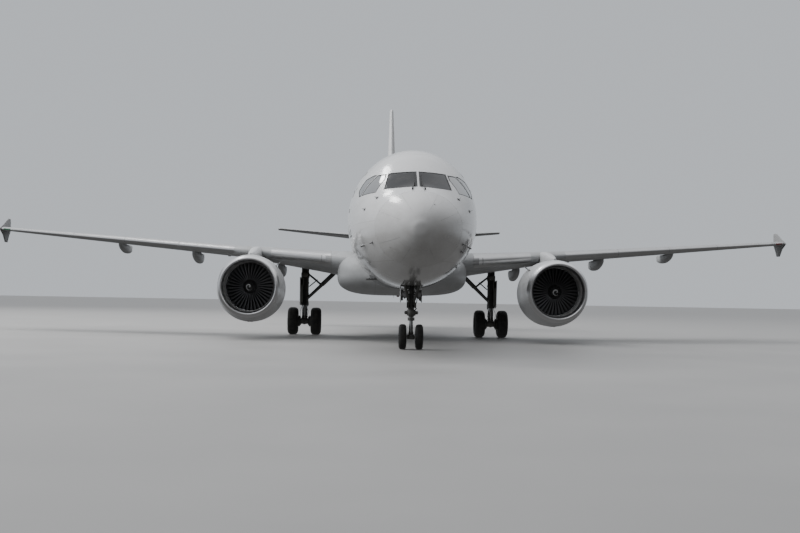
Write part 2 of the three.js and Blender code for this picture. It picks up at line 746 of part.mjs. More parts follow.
function fin() {
  const hinge = rudderHinge();
  return finBody()
    .add(upright(DORSAL_ROWS, DORSAL_FOIL))
    .subtract(prismAlongX(finRearOutline(RUDDER, RUDDER.endGap), -600, 600))
    .subtract(hinge.cove)
    .subtract(hinge.bore)
    .subtract(hullPiece(25600, LENGTH, SEAM));
}

function rudder() {
  const hinge = rudderHinge();
  const rear = prismAlongX(finRearOutline(RUDDER, 0), -600, 600);
  return finBody().intersect(rear).add(hinge.nose).add(hinge.pins);
}

const STAB_ROWS = [
  // across, station of the leading edge, chord, height
  [500, 31950, 3500, 4740],
  [6225, 35480, 1330, 5340],
];
const ELEVATOR = { from: 1330, to: 5980, share: 0.69, endGap: 32, pin: 20 };

const stabBody = (side) =>
  loft(STAB_ROWS.map(([x, edge, chord, height]) =>
    tailRing((y, up) => vec(side * x, y, height + up), edge, chord, TAIL_FOIL)));

function stabRearOutline({ from, to, share }, side, by) {
  const line = (x) => {
    const [, edge, chord] = rowBetween(STAB_ROWS, x);
    return edge + share * chord;
  };
  const [a, b] = [from - by, to + by];
  return sided([[a, line(a)], [b, line(b)], [b, line(b) + 1800], [a, line(a) + 1800]], side);
}

function elevatorHinge(side) {
  const ends = [ELEVATOR.from, ELEVATOR.to].map((x) => {
    const [, edge, chord, height] = rowBetween(STAB_ROWS, x);
    return {
      point: vec(side * x, stationY(edge + ELEVATOR.share * chord), height),
      half: foilHalf(ELEVATOR.share, TAIL_FOIL) * chord,
    };
  });
  return hingedNose(ends[0].point, ends[1].point, ends.map((end) => end.half * 0.97), ELEVATOR.pin, 18);
}

function stabiliser(side) {
  const hinge = elevatorHinge(side);
  return stabBody(side)
    .subtract(prismAlongZ(stabRearOutline(ELEVATOR, side, ELEVATOR.endGap), 4000, 6500))
    .subtract(hinge.cove)
    .subtract(hinge.bore)
    .subtract(hullPiece(29000, LENGTH, SEAM));
}

function elevator(side) {
  const hinge = elevatorHinge(side);
  return stabBody(side)
    .intersect(prismAlongZ(stabRearOutline(ELEVATOR, side, 0), 4000, 6500))
    .add(hinge.nose)
    .add(hinge.pins);
}

// Engines

const ENGINE = { x: 5520, z: 1860, inlet: 11450 };
const FAN = { plane: 950, tip: 862, hub: 255, blades: 36, shaft: 70 };
const at = (aft) => ENGINE.inlet + aft;

const COWL_OUTSIDE = [
  // aft of the inlet, radius, how far its middle lies below the fan's
  [260, 1110, 0], [650, 1176, 32], [1200, 1215, 60], [1900, 1215, 62], [2600, 1150, 45], [3300, 1000, 15],
];
const COWL_INSIDE = [[3300, 980], [2900, 1010], [2200, 985], [1500, 900], [700, 870], [260, 890]];
const LIP = [[259.6, 890], [110, 915], [0, 985], [35, 1030], [259.6, 1110]];
const [COWL_FRONT, COWL_BACK] = [260, 3300];

const COWL_SIDES = 32;
const closed = (profile) => [...profile, profile[0]];
const placed = (profile) => profile.map(([aft, radius]) => [at(aft), radius]);

const inletLip = (side) => turned(closed(placed(LIP)), side * ENGINE.x, ENGINE.z, COWL_SIDES);

// The outside of a nacelle between two distances aft of its inlet, as a solid
function nacelle(side, from, to, grow = 0) {
  const inner = COWL_OUTSIDE.map(([aft]) => aft).filter((aft) => aft > from && aft < to);
  const rings = [from, ...inner, to].map((aft) => {
    const [, radius, drop] = rowBetween(COWL_OUTSIDE, aft);
    return Array.from({ length: COWL_SIDES }, (_, k) => {
      const angle = (2 * Math.PI * (k + 0.5)) / COWL_SIDES;
      const reach = radius + grow;
      return vec(side * ENGINE.x + reach * Math.sin(angle), stationY(at(aft)),
        ENGINE.z - drop + reach * Math.cos(angle));
    });
  });
  return loft(rings);
}

// Fan cowl doors: two on each engine, hinged beside the pylon and closed along the bottom
const COWL_DOOR = { from: 760, to: 1980, depth: 70, half: 3, top: 12, middle: 60, hinge: 1188, bead: 28 };
const FAR = 2400; // reach of a cutting outline past the nacelle
const cowlMiddle = { x: (side) => side * ENGINE.x, z: ENGINE.z - COWL_DOOR.middle };

const cowlShell = (side, from, to, depth) =>
  nacelle(side, from, to).subtract(nacelle(side, from - 1, to + 1, -depth));

// The outline around the half of a nacelle on which a door lies, seen from ahead
function doorOutline(side, way) {
  const { half, top } = COWL_DOOR;
  const [x, z] = [cowlMiddle.x(side), cowlMiddle.z];
  const angle = THREE.MathUtils.degToRad(top);
  const on = (across, up) => [x + way * across, z + up];
  return [on(half, -FAR), on(FAR, -FAR), on(FAR, FAR), on(FAR * Math.sin(angle), FAR * Math.cos(angle)),
    on(half, half / Math.tan(angle))];
}

function doorBead(side, way, radius, past) {
  const angle = THREE.MathUtils.degToRad(COWL_DOOR.top);
  const x = cowlMiddle.x(side) + way * COWL_DOOR.hinge * Math.sin(angle);
  const z = cowlMiddle.z + COWL_DOOR.hinge * Math.cos(angle);
  const [from, to] = [COWL_DOOR.from - past, COWL_DOOR.to + past].map((aft) => stationY(at(aft)));
  return bar(vec(x, from, z), vec(x, to, z), radius, radius, BEAD_SIDES);
}

function fanCowlDoor(side, way) {
  const { from, to, depth, bead } = COWL_DOOR;
  const outline = prismAlongY(doorOutline(side, way), stationY(at(from)), stationY(at(to)));
  return cowlShell(side, from, to, depth).intersect(outline).add(doorBead(side, way, bead, 0));
}

// The room around both doors of a nacelle
function doorRoom(side) {
  const { from, to, depth, top, bead } = COWL_DOOR;
  const angle = THREE.MathUtils.degToRad(top);
  const apex = MOVING_GAP / Math.sin(angle);
  const [x, z] = [cowlMiddle.x(side), cowlMiddle.z];
  const [across, up] = [FAR * Math.sin(angle), FAR * Math.cos(angle) + apex];
  const kept = prismAlongY([[x, z + apex], [x - across, z + up], [x + across, z + up]],
    stationY(at(from - 2 * MOVING_GAP)), stationY(at(to + 2 * MOVING_GAP)));
  const shell = nacelle(side, from - MOVING_GAP, to + MOVING_GAP, 20)
    .subtract(nacelle(side, from - 2 * MOVING_GAP, to + 2 * MOVING_GAP, -depth - MOVING_GAP));
  const bores = [1, -1].map((way) => doorBead(side, way, bead + PIN_CLEARANCE, MOVING_GAP));
  return join(shell.subtract(kept), ...bores);
}

const OVERRUN = 60; // how far a cutting shape runs past the ends of what it cuts
const duct = (side) =>
  turned(placed([[COWL_FRONT - OVERRUN, 0], [COWL_FRONT - OVERRUN, 890], ...[...COWL_INSIDE].reverse(),
    [COWL_BACK + OVERRUN, 980], [COWL_BACK + OVERRUN, 0]]), side * ENGINE.x, ENGINE.z, COWL_SIDES);

const fanCowl = (side) => nacelle(side, COWL_FRONT, COWL_BACK).subtract(duct(side)).subtract(doorRoom(side));

const CORE_SIDES = 16;
const CORE = [
  [1085, 0], [1085, 300], [1500, 440], [2200, 640], [2900, 700], [3400, 660], [4250, 440],
  [4250, 415], [4050, 400], [4050, 300], [4400, 250], [4920, 40], [4920, 0],
];
const VANES = 4;

function engineCore(side) {
  const [x, z] = [side * ENGINE.x, ENGINE.z];
  let made = turned(placed(CORE), x, z, CORE_SIDES);
  const [shaftFrom, shaftTo] = [980, 1100].map((aft) => vec(x, stationY(at(aft)), z));
  const shaft = bar(shaftFrom, shaftTo, FAN.shaft, FAN.shaft, PIN_SIDES);
  made = made.add(shaft);
  for (let k = 0; k < VANES; k++) {
    const angle = (2 * Math.PI * k) / VANES + Math.PI / VANES;
    const vane = new THREE.BoxGeometry(28, 260, 700);
    const place = new THREE.Matrix4()
      .makeTranslation(x, stationY(at(1680)), z)
      .multiply(new THREE.Matrix4().makeRotationY(angle))
      .multiply(new THREE.Matrix4().makeTranslation(0, 0, 700));
    made = made.add(solid(vane, place));
  }
  const behindFan = [...COWL_INSIDE].reverse().filter(([aft]) => aft > FAN.plane);
  const seat = behindFan.map(([aft, r]) => [aft, r - SEAM]);
  const inside = turned(placed([[seat[0][0], 0], ...seat, [COWL_BACK, 0]]), x, z, COWL_SIDES);
  return made.intersect(inside.add(turned(placed(CORE), x, z, CORE_SIDES)).add(shaft));
}

const BLADE_ROWS = [
  // radius, chord, turn from the axis in degrees, thickness
  [230, 190, 24, 34],
  [FAN.tip, 235, 58, 14],
];

const SPINNER = [
  // aft of the inlet, radius
  [470, 0], [500, 50], [640, 150], [830, FAN.hub], [1075, FAN.hub], [1075, 0],
];

function fanBlade(x, z, angle) {
  const rings = BLADE_ROWS.map(([radius, chord, turn, thick]) => {
    const lean = THREE.MathUtils.degToRad(turn);
    return [[-0.5, 0], [0, 0.5], [0.5, 0]].map(([along, off]) => {
      const axial = along * chord * Math.cos(lean) - off * thick * Math.sin(lean);
      const around = along * chord * Math.sin(lean) + off * thick * Math.cos(lean);
      const reach = Math.sqrt(radius * radius - around * around);
      const [c, s] = [Math.cos(angle), Math.sin(angle)];
      return vec(x + reach * s + around * c, stationY(at(FAN.plane)) + axial, z + reach * c - around * s);
    });
  });
  return loft(rings);
}

function fan(side) {
  const [x, z] = [side * ENGINE.x, ENGINE.z];
  const spinner = turned(placed(SPINNER), x, z, CORE_SIDES);
  const blades = Array.from({ length: FAN.blades }, (_, k) => fanBlade(x, z, (2 * Math.PI * k) / FAN.blades));
  const [from, to] = [970, 1200].map((aft) => vec(x, stationY(at(aft)), z));
  const bore = bar(from, to, FAN.shaft + PIN_CLEARANCE, FAN.shaft + PIN_CLEARANCE, PIN_SIDES);
  return spinner.add(wasm.Manifold.union(blades)).subtract(bore);
}

const PYLON_ROWS = [
  // station, half width, bottom, top
  [12350, 40, 2900, 3080],
  [12900, 150, 2700, 3170],
  [13900, 200, 2450, 3330],
  [15200, 210, 2350, 3420],
  [16300, 190, 2330, 3300],
  [17300, 120, 2450, 3120],
  [18100, 30, 2640, 2900],
];

function pylon(side, wings) {
  const x = side * ENGINE.x;
  const rings = PYLON_ROWS.map(([s, half, bottom, top]) =>
    Array.from({ length: 12 }, (_, k) => {
      const angle = (2 * Math.PI * (k + 0.5)) / 12;
      const soft = (value) => Math.sign(value) * Math.abs(value) ** 0.6;
      const [middle, reach] = [(top + bottom) / 2, (top - bottom) / 2];
      return vec(x + half * soft(Math.cos(angle)), stationY(s), middle + reach * soft(Math.sin(angle)));
    }));
  const coreRoom = turned(placed(CORE.map(([aft, r]) => [aft, r ? r + SEAM : 0])), x, ENGINE.z, CORE_SIDES);
  return loft(rings)
    .subtract(nacelle(side, COWL_FRONT, COWL_BACK + SEAM, SEAM))
    .subtract(coreRoom)
    .subtract(wings);
}

// Landing gear

const wheelSizes = {
  main: { tyre: 555, width: 420, rim: 262, spacing: 927, axle: 60, sides: 24, station: 17710, x: 3795 },
  nose: { tyre: 380, width: 224, rim: 195, spacing: 500, axle: 38, sides: 20, station: 5070, x: 0 },
};
const axleHeight = (size) => size.tyre * Math.cos(Math.PI / size.sides);

// A turned part about the X axis from [across, radius] pairs. A flat of its facets faces the ground.
function turnedAcross(profile, x, y, z, sides) {
  const outline = profile.map(([across, radius]) => new THREE.Vector2(radius, across));
  const geometry = new THREE.LatheGeometry(outline, sides, Math.PI / sides);
  const place = new THREE.Matrix4()
    .makeTranslation(x, y, z)
    .multiply(new THREE.Matrix4().makeRotationZ(-Math.PI / 2));
  const made = solid(geometry, place);
  return made.volume() > 0 ? made : flip(geometry, place);
}

function tyre(size, side) {
  const { tyre: r, width, rim, spacing, sides } = size;
  const half = width / 2;
  const profile = [
    [-half * 0.7, rim + SEAM], [-half, rim + (r - rim) * 0.5], [-half * 0.55, r], [half * 0.55, r],
    [half, rim + (r - rim) * 0.5], [half * 0.7, rim + SEAM],
  ];
  const x = size.x + (side * spacing) / 2;
  return turnedAcross(closed(profile), x, stationY(size.station), axleHeight(size), sides);
}

function wheelPair(size) {
  const { width, rim, spacing, sides, axle } = size;
  const half = width / 2;
  const wheel = (side) =>
    turnedAcross([[-half * 0.66, 0], [-half * 0.66, rim], [half * 0.66, rim], [half * 0.5, rim * 0.86],
      [half * 0.2, rim * 0.7], [half * 0.75, rim * 0.34], [half * 0.75, 0]].map(([a, r]) => [side * a, r]),
    size.x + (side * spacing) / 2, stationY(size.station), axleHeight(size), sides);
  const reach = spacing / 2;
  const shaft = bar(vec(size.x - reach, stationY(size.station), axleHeight(size)),
    vec(size.x + reach, stationY(size.station), axleHeight(size)), axle, axle, PIN_SIDES);
  return join(shaft, wheel(1), wheel(-1));
}

const axleBore = (size) =>
  bar(vec(size.x - 900, stationY(size.station), axleHeight(size)),
    vec(size.x + 900, stationY(size.station), axleHeight(size)), size.axle + PIN_CLEARANCE,
    size.axle + PIN_CLEARANCE, PIN_SIDES);

const MAIN_LEG = { top: 2900, collar: 1230, radius: 150, piston: 105 };
const LEG_ROOM = MAIN_LEG.radius + 2 * SEAM;

function mainLeg(side, above) {
  const size = wheelSizes.main;
  const [x, y, z] = [side * size.x, stationY(size.station), axleHeight(size)];
  const on = (dx, dy, height) => vec(x + side * dx, y + dy, height);
  const { top, collar, radius, piston: rod } = MAIN_LEG;
  const cylinder = bar(on(0, 0, collar), on(0, 0, top), radius, radius, 14);
  const ring = bar(on(0, 0, collar - 40), on(0, 0, collar + 110), radius + 11, radius + 11, 14);
  const piston = bar(on(0, 0, z), on(0, 0, collar), rod, rod, 12);
  const foot = bar(on(-165, 0, z), on(165, 0, z), 125, 125, 14);
  const trunnion = bar(on(0, -520, 2420), on(0, 380, 2420), 95, 95, 10);
  const upperLink = linkPlate(on, [150, 1180], [430, 860], 120);
  const lowerLink = linkPlate(on, [60, 600], [430, 860], 120);
  const knee = bar(on(-75, 430, 860), on(75, 430, 860), 42, 42, 8);
  const pad = bar(on(0, 0, z - JACKING_PAD.below), on(0, 0, z), JACKING_PAD.gear, JACKING_PAD.gear, 16);
  const whole = join(cylinder, ring, piston, foot, trunnion, upperLink, lowerLink, knee, pad);
  return whole.subtract(axleBore({ ...size, x })).subtract(above).subtract(above.translate([0, 0, -SEAM]));
}

// One arm of the scissor links behind a leg, between two [aft, height] places
function linkPlate(on, [aft0, z0], [aft1, z1], half) {
  const [a, b] = [on(0, aft0, z0), on(0, aft1, z1)];
  const length = a.distanceTo(b);
  const geometry = new THREE.BoxGeometry(half, length, 60);
  const turn = new THREE.Quaternion().setFromUnitVectors(vec(0, 1, 0), b.clone().sub(a).normalize());
  const middle = a.clone().add(b).multiplyScalar(0.5);
  return solid(geometry, new THREE.Matrix4().compose(middle, turn, vec(1, 1, 1)));
}

function sideStay(side, around) {
  const size = wheelSizes.main;
  const y = stationY(size.station) - 60;
  const on = (inward, height) => vec(side * (size.x - inward), y, height);
  const stay = bar(on(60, 1430), on(1180, 2520), 62, 62, 10);
  const lock = bar(on(690, 2000), on(60, 2480), 36, 36, 10);
  const joint = bar(on(690, 2000).add(vec(0, -80, 0)), on(690, 2000).add(vec(0, 80, 0)), 75, 75, 12);
  const room = bar(on(0, 1000).add(vec(0, 60, 0)), on(0, 2900).add(vec(0, 60, 0)), LEG_ROOM, LEG_ROOM, 14);
  return join(stay, lock, joint).subtract(around).subtract(around.translate([0, 0, -SEAM])).subtract(room);
}

const LEG_DOOR = { out: 167, thickness: 32 };

function legDoor(side) {
  const size = wheelSizes.main;
  const y = stationY(size.station);
  const x = side * (size.x + LEG_DOOR.out);
  const near = (a, b) => (side > 0 ? [a, b] : [b, a]);
  const panel = prismAlongX([[17260, 2330], [18080, 2270], [18000, 1330], [17760, 1180], [17380, 1250]],
    ...near(x, x + side * LEG_DOOR.thickness));
  const links = [1560, 2080].map((z) => bar(vec(side * size.x, y, z), vec(x + side * 8, y, z), 30, 30, 10));
  const room = bar(vec(side * size.x, y, 1000), vec(side * size.x, y, 2900), LEG_ROOM, LEG_ROOM, 14);
  return join(panel, ...links.map((link) => link.subtract(room)));
}

const STEERING_GAP = 6;
const NOSE_LEG = { top: NOSE_BAY.roof - SEAM, pistonTop: 1150, collar: 960, radius: 85, piston: 60 };

function noseLeg() {
  const size = wheelSizes.nose;
  const y = stationY(size.station);
  const cylinder = bar(vec(0, y, NOSE_LEG.collar + STEERING_GAP), vec(0, y, NOSE_LEG.top),
    NOSE_LEG.radius, NOSE_LEG.radius, 12);
  const collar = bar(vec(0, y, 1010), vec(0, y, 1190), 140, 140, 14);
  const motors = bar(vec(-210, y - 30, 1100), vec(210, y - 30, 1100), 62, 62, 10);
  const trunnion = bar(vec(-NOSE_BAY.half + SEAM, y, 2200), vec(NOSE_BAY.half - SEAM, y, 2200), 60, 60, 10);
  const braces = [1, -1].map((side) =>
    bar(vec(side * 40, y - 20, 1330), vec(side * 280, y - 360, 2120), 38, 38, 8));
  const wall = NOSE_BAY.half - SEAM;
  const cross = bar(vec(-wall, y - 345, 2085), vec(wall, y - 345, 2085), 36, 36, 8);
  const lampHeight = 1640;
  const lampBar = bar(vec(-200, y - 60, lampHeight), vec(200, y - 60, lampHeight), 26, 26, 8);
  const lamps = [1, -1].map((side) =>
    bar(vec(side * 205, y - 130, lampHeight), vec(side * 205, y - 20, lampHeight), 105, 70, 12));
  const bore = bar(vec(0, y, NOSE_LEG.collar - 50), vec(0, y, NOSE_LEG.pistonTop + SEAM),
    NOSE_LEG.piston + PIN_CLEARANCE, NOSE_LEG.piston + PIN_CLEARANCE, PIN_SIDES);
  return join(cylinder, collar, motors, trunnion, ...braces, cross, lampBar, ...lamps).subtract(bore);
}

function noseFork() {
  const size = wheelSizes.nose;
  const [y, z] = [stationY(size.station), axleHeight(size)];
  const { pistonTop, piston: rod } = NOSE_LEG;
  const piston = bar(vec(0, y, z), vec(0, y, pistonTop), rod, rod, PIN_SIDES);
  const foot = bar(vec(-105, y, z), vec(105, y, z), 78, 78, 12);
  const sleeve = bar(vec(0, y, 860), vec(0, y, NOSE_LEG.collar), 105, 105, 12);
  const on = (dx, dy, height) => vec(dx, y + dy, height);
  const upperLink = linkPlate(on, [70, 910], [250, 680], 90);
  const lowerLink = linkPlate(on, [40, 400], [250, 680], 90);
  const lug = block([-50, 50], [y - 150, y - 40], [z - 45, z + 45]);
  return join(piston, foot, sleeve, upperLink, lowerLink, lug).subtract(axleBore(size));
}

function noseDoor(side) {
  const x = side * (NOSE_BAY.half - SEAM);
  const outline = [[5230, 1800], [5730, 1810], [5690, 1420], [5290, 1400]]; // station, up
  const [near, far] = side > 0 ? [x - 22, x] : [x, x + 22];
  const panel = prismAlongX(outline, near, far);
  const arms = [5300, 5640].map((s) =>
    block([near, far], [stationY(s - 30), stationY(s + 30)], [1780, 2100]));
  return join(panel, ...arms);
}

// The whole aircraft

const plane = new THREE.Group();
const add = (name, shape, material) => plane.add(meshOf(name, shape, material));
const SIDES = [["left", 1], ["right", -1]];

add("radome", radome(), radomePaint);
add("fuselage_forward", forwardFuselage(), whitePaint);
add("fuselage_centre", centreFuselage(), whitePaint);
add("fuselage_aft", aftFuselage(), whitePaint);
add("tail_cone", tailCone(), greyPaint);
add("belly_fairing", bellyFairing(), whitePaint);
CARGO_DOORS.forEach((row) => add(row.name, cargoDoor(row), whitePaint));
add("fin", fin(), whitePaint);
add("rudder", rudder(), whitePaint);

add("windshield", windshield(), darkGlass);
for (const [name, side] of SIDES) {
  add(`side_glazing_${name}`, sideGlazing(side), darkGlass);
  const wingShape = wing(side);
  add(`wing_${name}`, wingShape, greyPaint);
  add(`flap_inner_${name}`, flap(side, "inner"), greyPaint);
  add(`flap_outer_${name}`, flap(side, "outer"), greyPaint);
  add(`aileron_${name}`, aileron(side), greyPaint);
  add(`wing_fence_${name}`, fence(side), whitePaint);
  add(`stabiliser_${name}`, stabiliser(side), greyPaint);
  add(`elevator_${name}`, elevator(side), greyPaint);
  add(`inlet_lip_${name}`, inletLip(side), polishedMetal);
  add(`fan_cowl_${name}`, fanCowl(side), whitePaint);
  add(`fan_cowl_door_${name}_outer`, fanCowlDoor(side, side), whitePaint);
  add(`fan_cowl_door_${name}_inner`, fanCowlDoor(side, -side), whitePaint);
  add(`engine_core_${name}`, engineCore(side), nickelAlloy);
  add(`fan_${name}`, fan(side), titaniumBlade);
  const roof = wingBody(side);
  const shifts = [[0, -SEAM, 0], [0, 0, -SEAM], [0, 0, SEAM]];
  const wingRoom = join(roof, ...shifts.map((shift) => roof.translate(shift)));
  add(`pylon_${name}`, pylon(side, wingRoom), whitePaint);

  const size = { ...wheelSizes.main, x: side * wheelSizes.main.x };
  add(`main_leg_${name}`, mainLeg(side, roof), gearPaint);
  add(`side_stay_${name}`, sideStay(side, roof.add(fairingHull(SEAM))), gearPaint);
  add(`leg_door_${name}`, legDoor(side), whitePaint);
  add(`main_wheels_${name}`, wheelPair(size), wheelMetal);
  add(`main_tyre_${name}_outer`, tyre(size, side), tyreRubber);
  add(`main_tyre_${name}_inner`, tyre(size, -side), tyreRubber);
}

add("nose_leg", noseLeg(), gearPaint);
add("nose_fork", noseFork(), gearPaint);
add("nose_wheels", wheelPair(wheelSizes.nose), wheelMetal);
for (const [name, side] of SIDES) {
  add(`nose_tyre_${name}`, tyre(wheelSizes.nose, side), tyreRubber);
  add(`nose_door_${name}`, noseDoor(side), whitePaint);
}

export default plane;
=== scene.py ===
from math import asin, copysign, cos, hypot, pi, radians, sin, sqrt, tan

import bpy
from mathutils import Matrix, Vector


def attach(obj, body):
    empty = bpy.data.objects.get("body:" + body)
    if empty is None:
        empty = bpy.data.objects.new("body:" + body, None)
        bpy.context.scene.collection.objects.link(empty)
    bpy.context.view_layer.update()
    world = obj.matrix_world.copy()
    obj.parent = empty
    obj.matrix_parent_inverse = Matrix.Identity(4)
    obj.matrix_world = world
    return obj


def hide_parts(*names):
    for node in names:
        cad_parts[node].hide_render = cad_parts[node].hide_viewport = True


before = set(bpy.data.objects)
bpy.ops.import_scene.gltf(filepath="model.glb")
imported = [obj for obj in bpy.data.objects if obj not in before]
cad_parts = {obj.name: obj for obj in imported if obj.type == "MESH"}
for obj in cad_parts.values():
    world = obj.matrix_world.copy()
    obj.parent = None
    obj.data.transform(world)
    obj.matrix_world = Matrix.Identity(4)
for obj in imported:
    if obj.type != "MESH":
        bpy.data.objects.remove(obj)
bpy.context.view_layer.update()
print("frame loaded:", len(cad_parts), "nodes")

# Camera where the photographer stood: a little right of the nose, at eye height
view = {"place": (-1.50, -48.605, 1.49), "pitch": 1.62, "roll": 1.0, "yaw": 1.9, "lens": 52.4}
bpy.ops.object.camera_add(
    location=view["place"],
    rotation=(radians(90 + view["pitch"]), -radians(view["roll"]), -radians(view["yaw"])),
)
camera = bpy.context.object
camera.data.lens = view["lens"]
camera.data.sensor_width = 36
camera.data.clip_end = 600
bpy.context.scene.camera = camera


# Small tools for selecting, cutting and finishing a mesh

def pick(*objs):
    bpy.ops.object.select_all(action="DESELECT")
    for obj in objs:
        obj.select_set(True)
    bpy.context.view_layer.objects.active = objs[0]


def bake(obj):
    # place, turn and size go into the mesh, so that the object sits at the origin
    pick(obj)
    bpy.ops.object.transform_apply(location=True, rotation=True, scale=True)
    return obj


def tidyMesh(obj, gap=0.0003):
    pick(obj)
    bpy.ops.object.mode_set(mode="EDIT")
    bpy.ops.mesh.select_all(action="SELECT")
    bpy.ops.mesh.remove_doubles(threshold=gap)
    bpy.ops.mesh.normals_make_consistent(inside=False)
    bpy.ops.object.mode_set(mode="OBJECT")
    return obj


def modify(obj, kind, **settings):
    pick(obj)
    modifier = obj.modifiers.new(kind.title(), kind)
    for key, value in settings.items():
        setattr(modifier, key, value)
    bpy.ops.object.modifier_apply(modifier=modifier.name)
    return obj


def cut(obj, tool, how="DIFFERENCE"):
    modify(obj, "BOOLEAN", object=tool, operation=how, solver="EXACT")
    bpy.data.objects.remove(tool)
    return obj


def twin(obj, name):
    # a copy with its own mesh
    pick(obj)
    bpy.ops.object.duplicate(linked=False)
    made = bpy.context.object
    made.name = name
    return made


def joined(name, parts):
    pick(*parts)
    if len(parts) > 1:
        bpy.ops.object.join()
    made = bpy.context.object
    made.name = name
    return bake(made)


def finished(obj, name, material, slot, node=None, body="airframe"):
    # name, finish and body of a piece or of several parts, and the CAD node that it stands for
    if isinstance(obj, list):
        obj = joined(name, obj)
    obj.name = name
    obj.data.name = name
    pick(obj)
    bpy.ops.object.shade_smooth_by_angle(angle=radians(35))
    if material:
        obj.data.materials.clear()
        obj.data.materials.append(material)
    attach(obj, body)
    if node:
        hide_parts(node)
    return obj


def layRings(name, rings, ends=True):
    # a grid whose rows are laid on the rings; equal points merge, so a ring of one point closes as a pole
    count = len(rings[0])
    bpy.ops.object.select_all(action="DESELECT")
    bpy.ops.mesh.primitive_grid_add(x_subdivisions=count, y_subdivisions=len(rings) - 1, size=2)
    obj = bpy.context.object
    obj.name = name
    for i, vertex in enumerate(obj.data.vertices):
        row, column = divmod(i, count + 1)
        vertex.co = rings[row][column % count]
    pick(obj)
    bpy.ops.object.mode_set(mode="EDIT")
    bpy.ops.mesh.select_all(action="SELECT")
    bpy.ops.mesh.remove_doubles(threshold=0.00005)
    if ends:
        bpy.ops.mesh.fill_holes(sides=0)
        bpy.ops.mesh.select_all(action="SELECT")
        bpy.ops.mesh.normals_make_consistent(inside=False)
    bpy.ops.object.mode_set(mode="OBJECT")
    return obj


def prism(name, outline, direction):
    # a flat outline of points pushed along a direction
    push = Vector(direction)
    return layRings(name, [outline, [Vector(p) + push for p in outline]])


def rod(start, end, radius, endRadius=None, sides=24, soft=0.0):
    # a round bar between two points, its rims softened where soft is given
    start, end = Vector(start), Vector(end)
    along = end - start
    bpy.ops.object.select_all(action="DESELECT")
    bpy.ops.mesh.primitive_cone_add(
        vertices=sides, radius1=radius, radius2=radius if endRadius is None else endRadius,
        depth=along.length, location=(start + end) / 2,
        rotation=along.to_track_quat("Z", "Y").to_euler())
    obj = bake(bpy.context.object)
    if soft:
        modify(obj, "BEVEL", width=soft, segments=2, limit_method="ANGLE", angle_limit=radians(50))
    return obj


def slab(first, second, soft=0.0):
    # a block between two corners, its edges softened where soft is given
    low, high = (Vector([choice(p, q) for p, q in zip(first, second)]) for choice in (min, max))
    bpy.ops.object.select_all(action="DESELECT")
    bpy.ops.mesh.primitive_cube_add(size=1, location=(low + high) / 2, scale=high - low)
    obj = bake(bpy.context.object)
    if soft:
        modify(obj, "BEVEL", width=soft, segments=2)
    return obj


def bars(at, rows):
    # round bars from rows of start, end, radius, sides and softness, whose places are given to at
    return [rod(at(*start), at(*end), radius, None, *more) for start, end, radius, *more in rows]


def spun(name, profile, centre, axis, steps=64):
    # a profile of (along, radius) points spun about the X or the Y axis through centre, closed on itself
    rings = []
    for angle in turns(steps):
        c, s = cos(angle), sin(angle)
        rings.append([Vector(centre) + Vector((a, r * c, r * s) if axis == "x" else (r * c, a, r * s))
                      for a, r in profile])
    return tidyMesh(layRings(name, rings + [rings[0]], ends=False))


def hose(points, radius, sides=10):
    # a pipe through points, with closed ends
    rings = []
    points = [Vector(p) for p in points]
    for i, point in enumerate(points):
        along = (points[min(i + 1, len(points) - 1)] - points[max(i - 1, 0)]).normalized()
        across = (lastAcross - along * lastAcross.dot(along) if rings else along.orthogonal()).normalized()
        lastAcross = across
        other = along.cross(across)
        rings.append([point + radius * (across * cos(a) + other * sin(a)) for a in turns(sides)])
    return layRings("hose", rings)


def pipe(points, radius, steps=5, sides=10):
    # a hose on a smooth curve through a few points
    points = [Vector(p) for p in points]
    path = []
    for i in range(len(points) - 1):
        p0, p1 = points[max(i - 1, 0)], points[i]
        p2, p3 = points[i + 1], points[min(i + 2, len(points) - 1)]
        for k in range(steps):
            t = k / steps
            path.append(0.5 * (2 * p1 + (p2 - p0) * t + (2 * p0 - 5 * p1 + 4 * p2 - p3) * t * t
                               + (3 * p1 - p0 - 3 * p2 + p3) * t ** 3))
    return hose(path + [points[-1]], radius, sides)


def rowBefore(rows, place):
    # which row of a table comes before a place, its first column
    i = 0
    while i < len(rows) - 2 and rows[i + 1][0] < place:
        i += 1
    return i


def rowAt(rows, place):
    # the sizes at a place between two rows
    i = rowBefore(rows, place)
    a, b = rows[i], rows[i + 1]
    t = (place - a[0]) / (b[0] - a[0])
    return [p + (q - p) * t for p, q in zip(a, b)]


def spread(start, end, count):
    return [start + (end - start) * i / (count - 1) for i in range(count)]


def turns(count, shift=0.0):
    # angles all the way round a circle
    return [2 * pi * (k + shift) / count for k in range(count)]


sides = (("left", 1), ("right", -1))
length = 37.57


def stationY(station):
    return station - length / 2


# Finishes

def addNode(tree, kind, inputs=None, **settings):
    node = tree.nodes.new("ShaderNode" + kind)
    for key, value in settings.items():
        setattr(node, key, value)
    for key, value in (inputs or {}).items():
        socket = node.inputs[key]
        if isinstance(value, bpy.types.NodeSocket):
            tree.links.new(value, socket)
        else:
            socket.default_value = value
    return node


def reckon(tree, operation, a, b=0.0, c=0.0):
    return addNode(tree, "Math", {0: a, 1: b, 2: c}, operation=operation).outputs[0]


def times(tree, a, b):
    return reckon(tree, "MULTIPLY", a, b)


def ramp(tree, value, low, high, start=0.0, end=1.0):
    node = addNode(tree, "MapRange", {
        "Value": value, "From Min": low, "From Max": high, "To Min": start, "To Max": end})
    return node.outputs["Result"]


def blendColour(tree, factor, first, second):
    node = addNode(tree, "Mix", data_type="RGBA")
    for socket, value in zip((node.inputs[0], node.inputs[6], node.inputs[7]), (factor, first, second)):
        if isinstance(value, bpy.types.NodeSocket):
            tree.links.new(value, socket)
        else:
            socket.default_value = value
    return node.outputs[2]


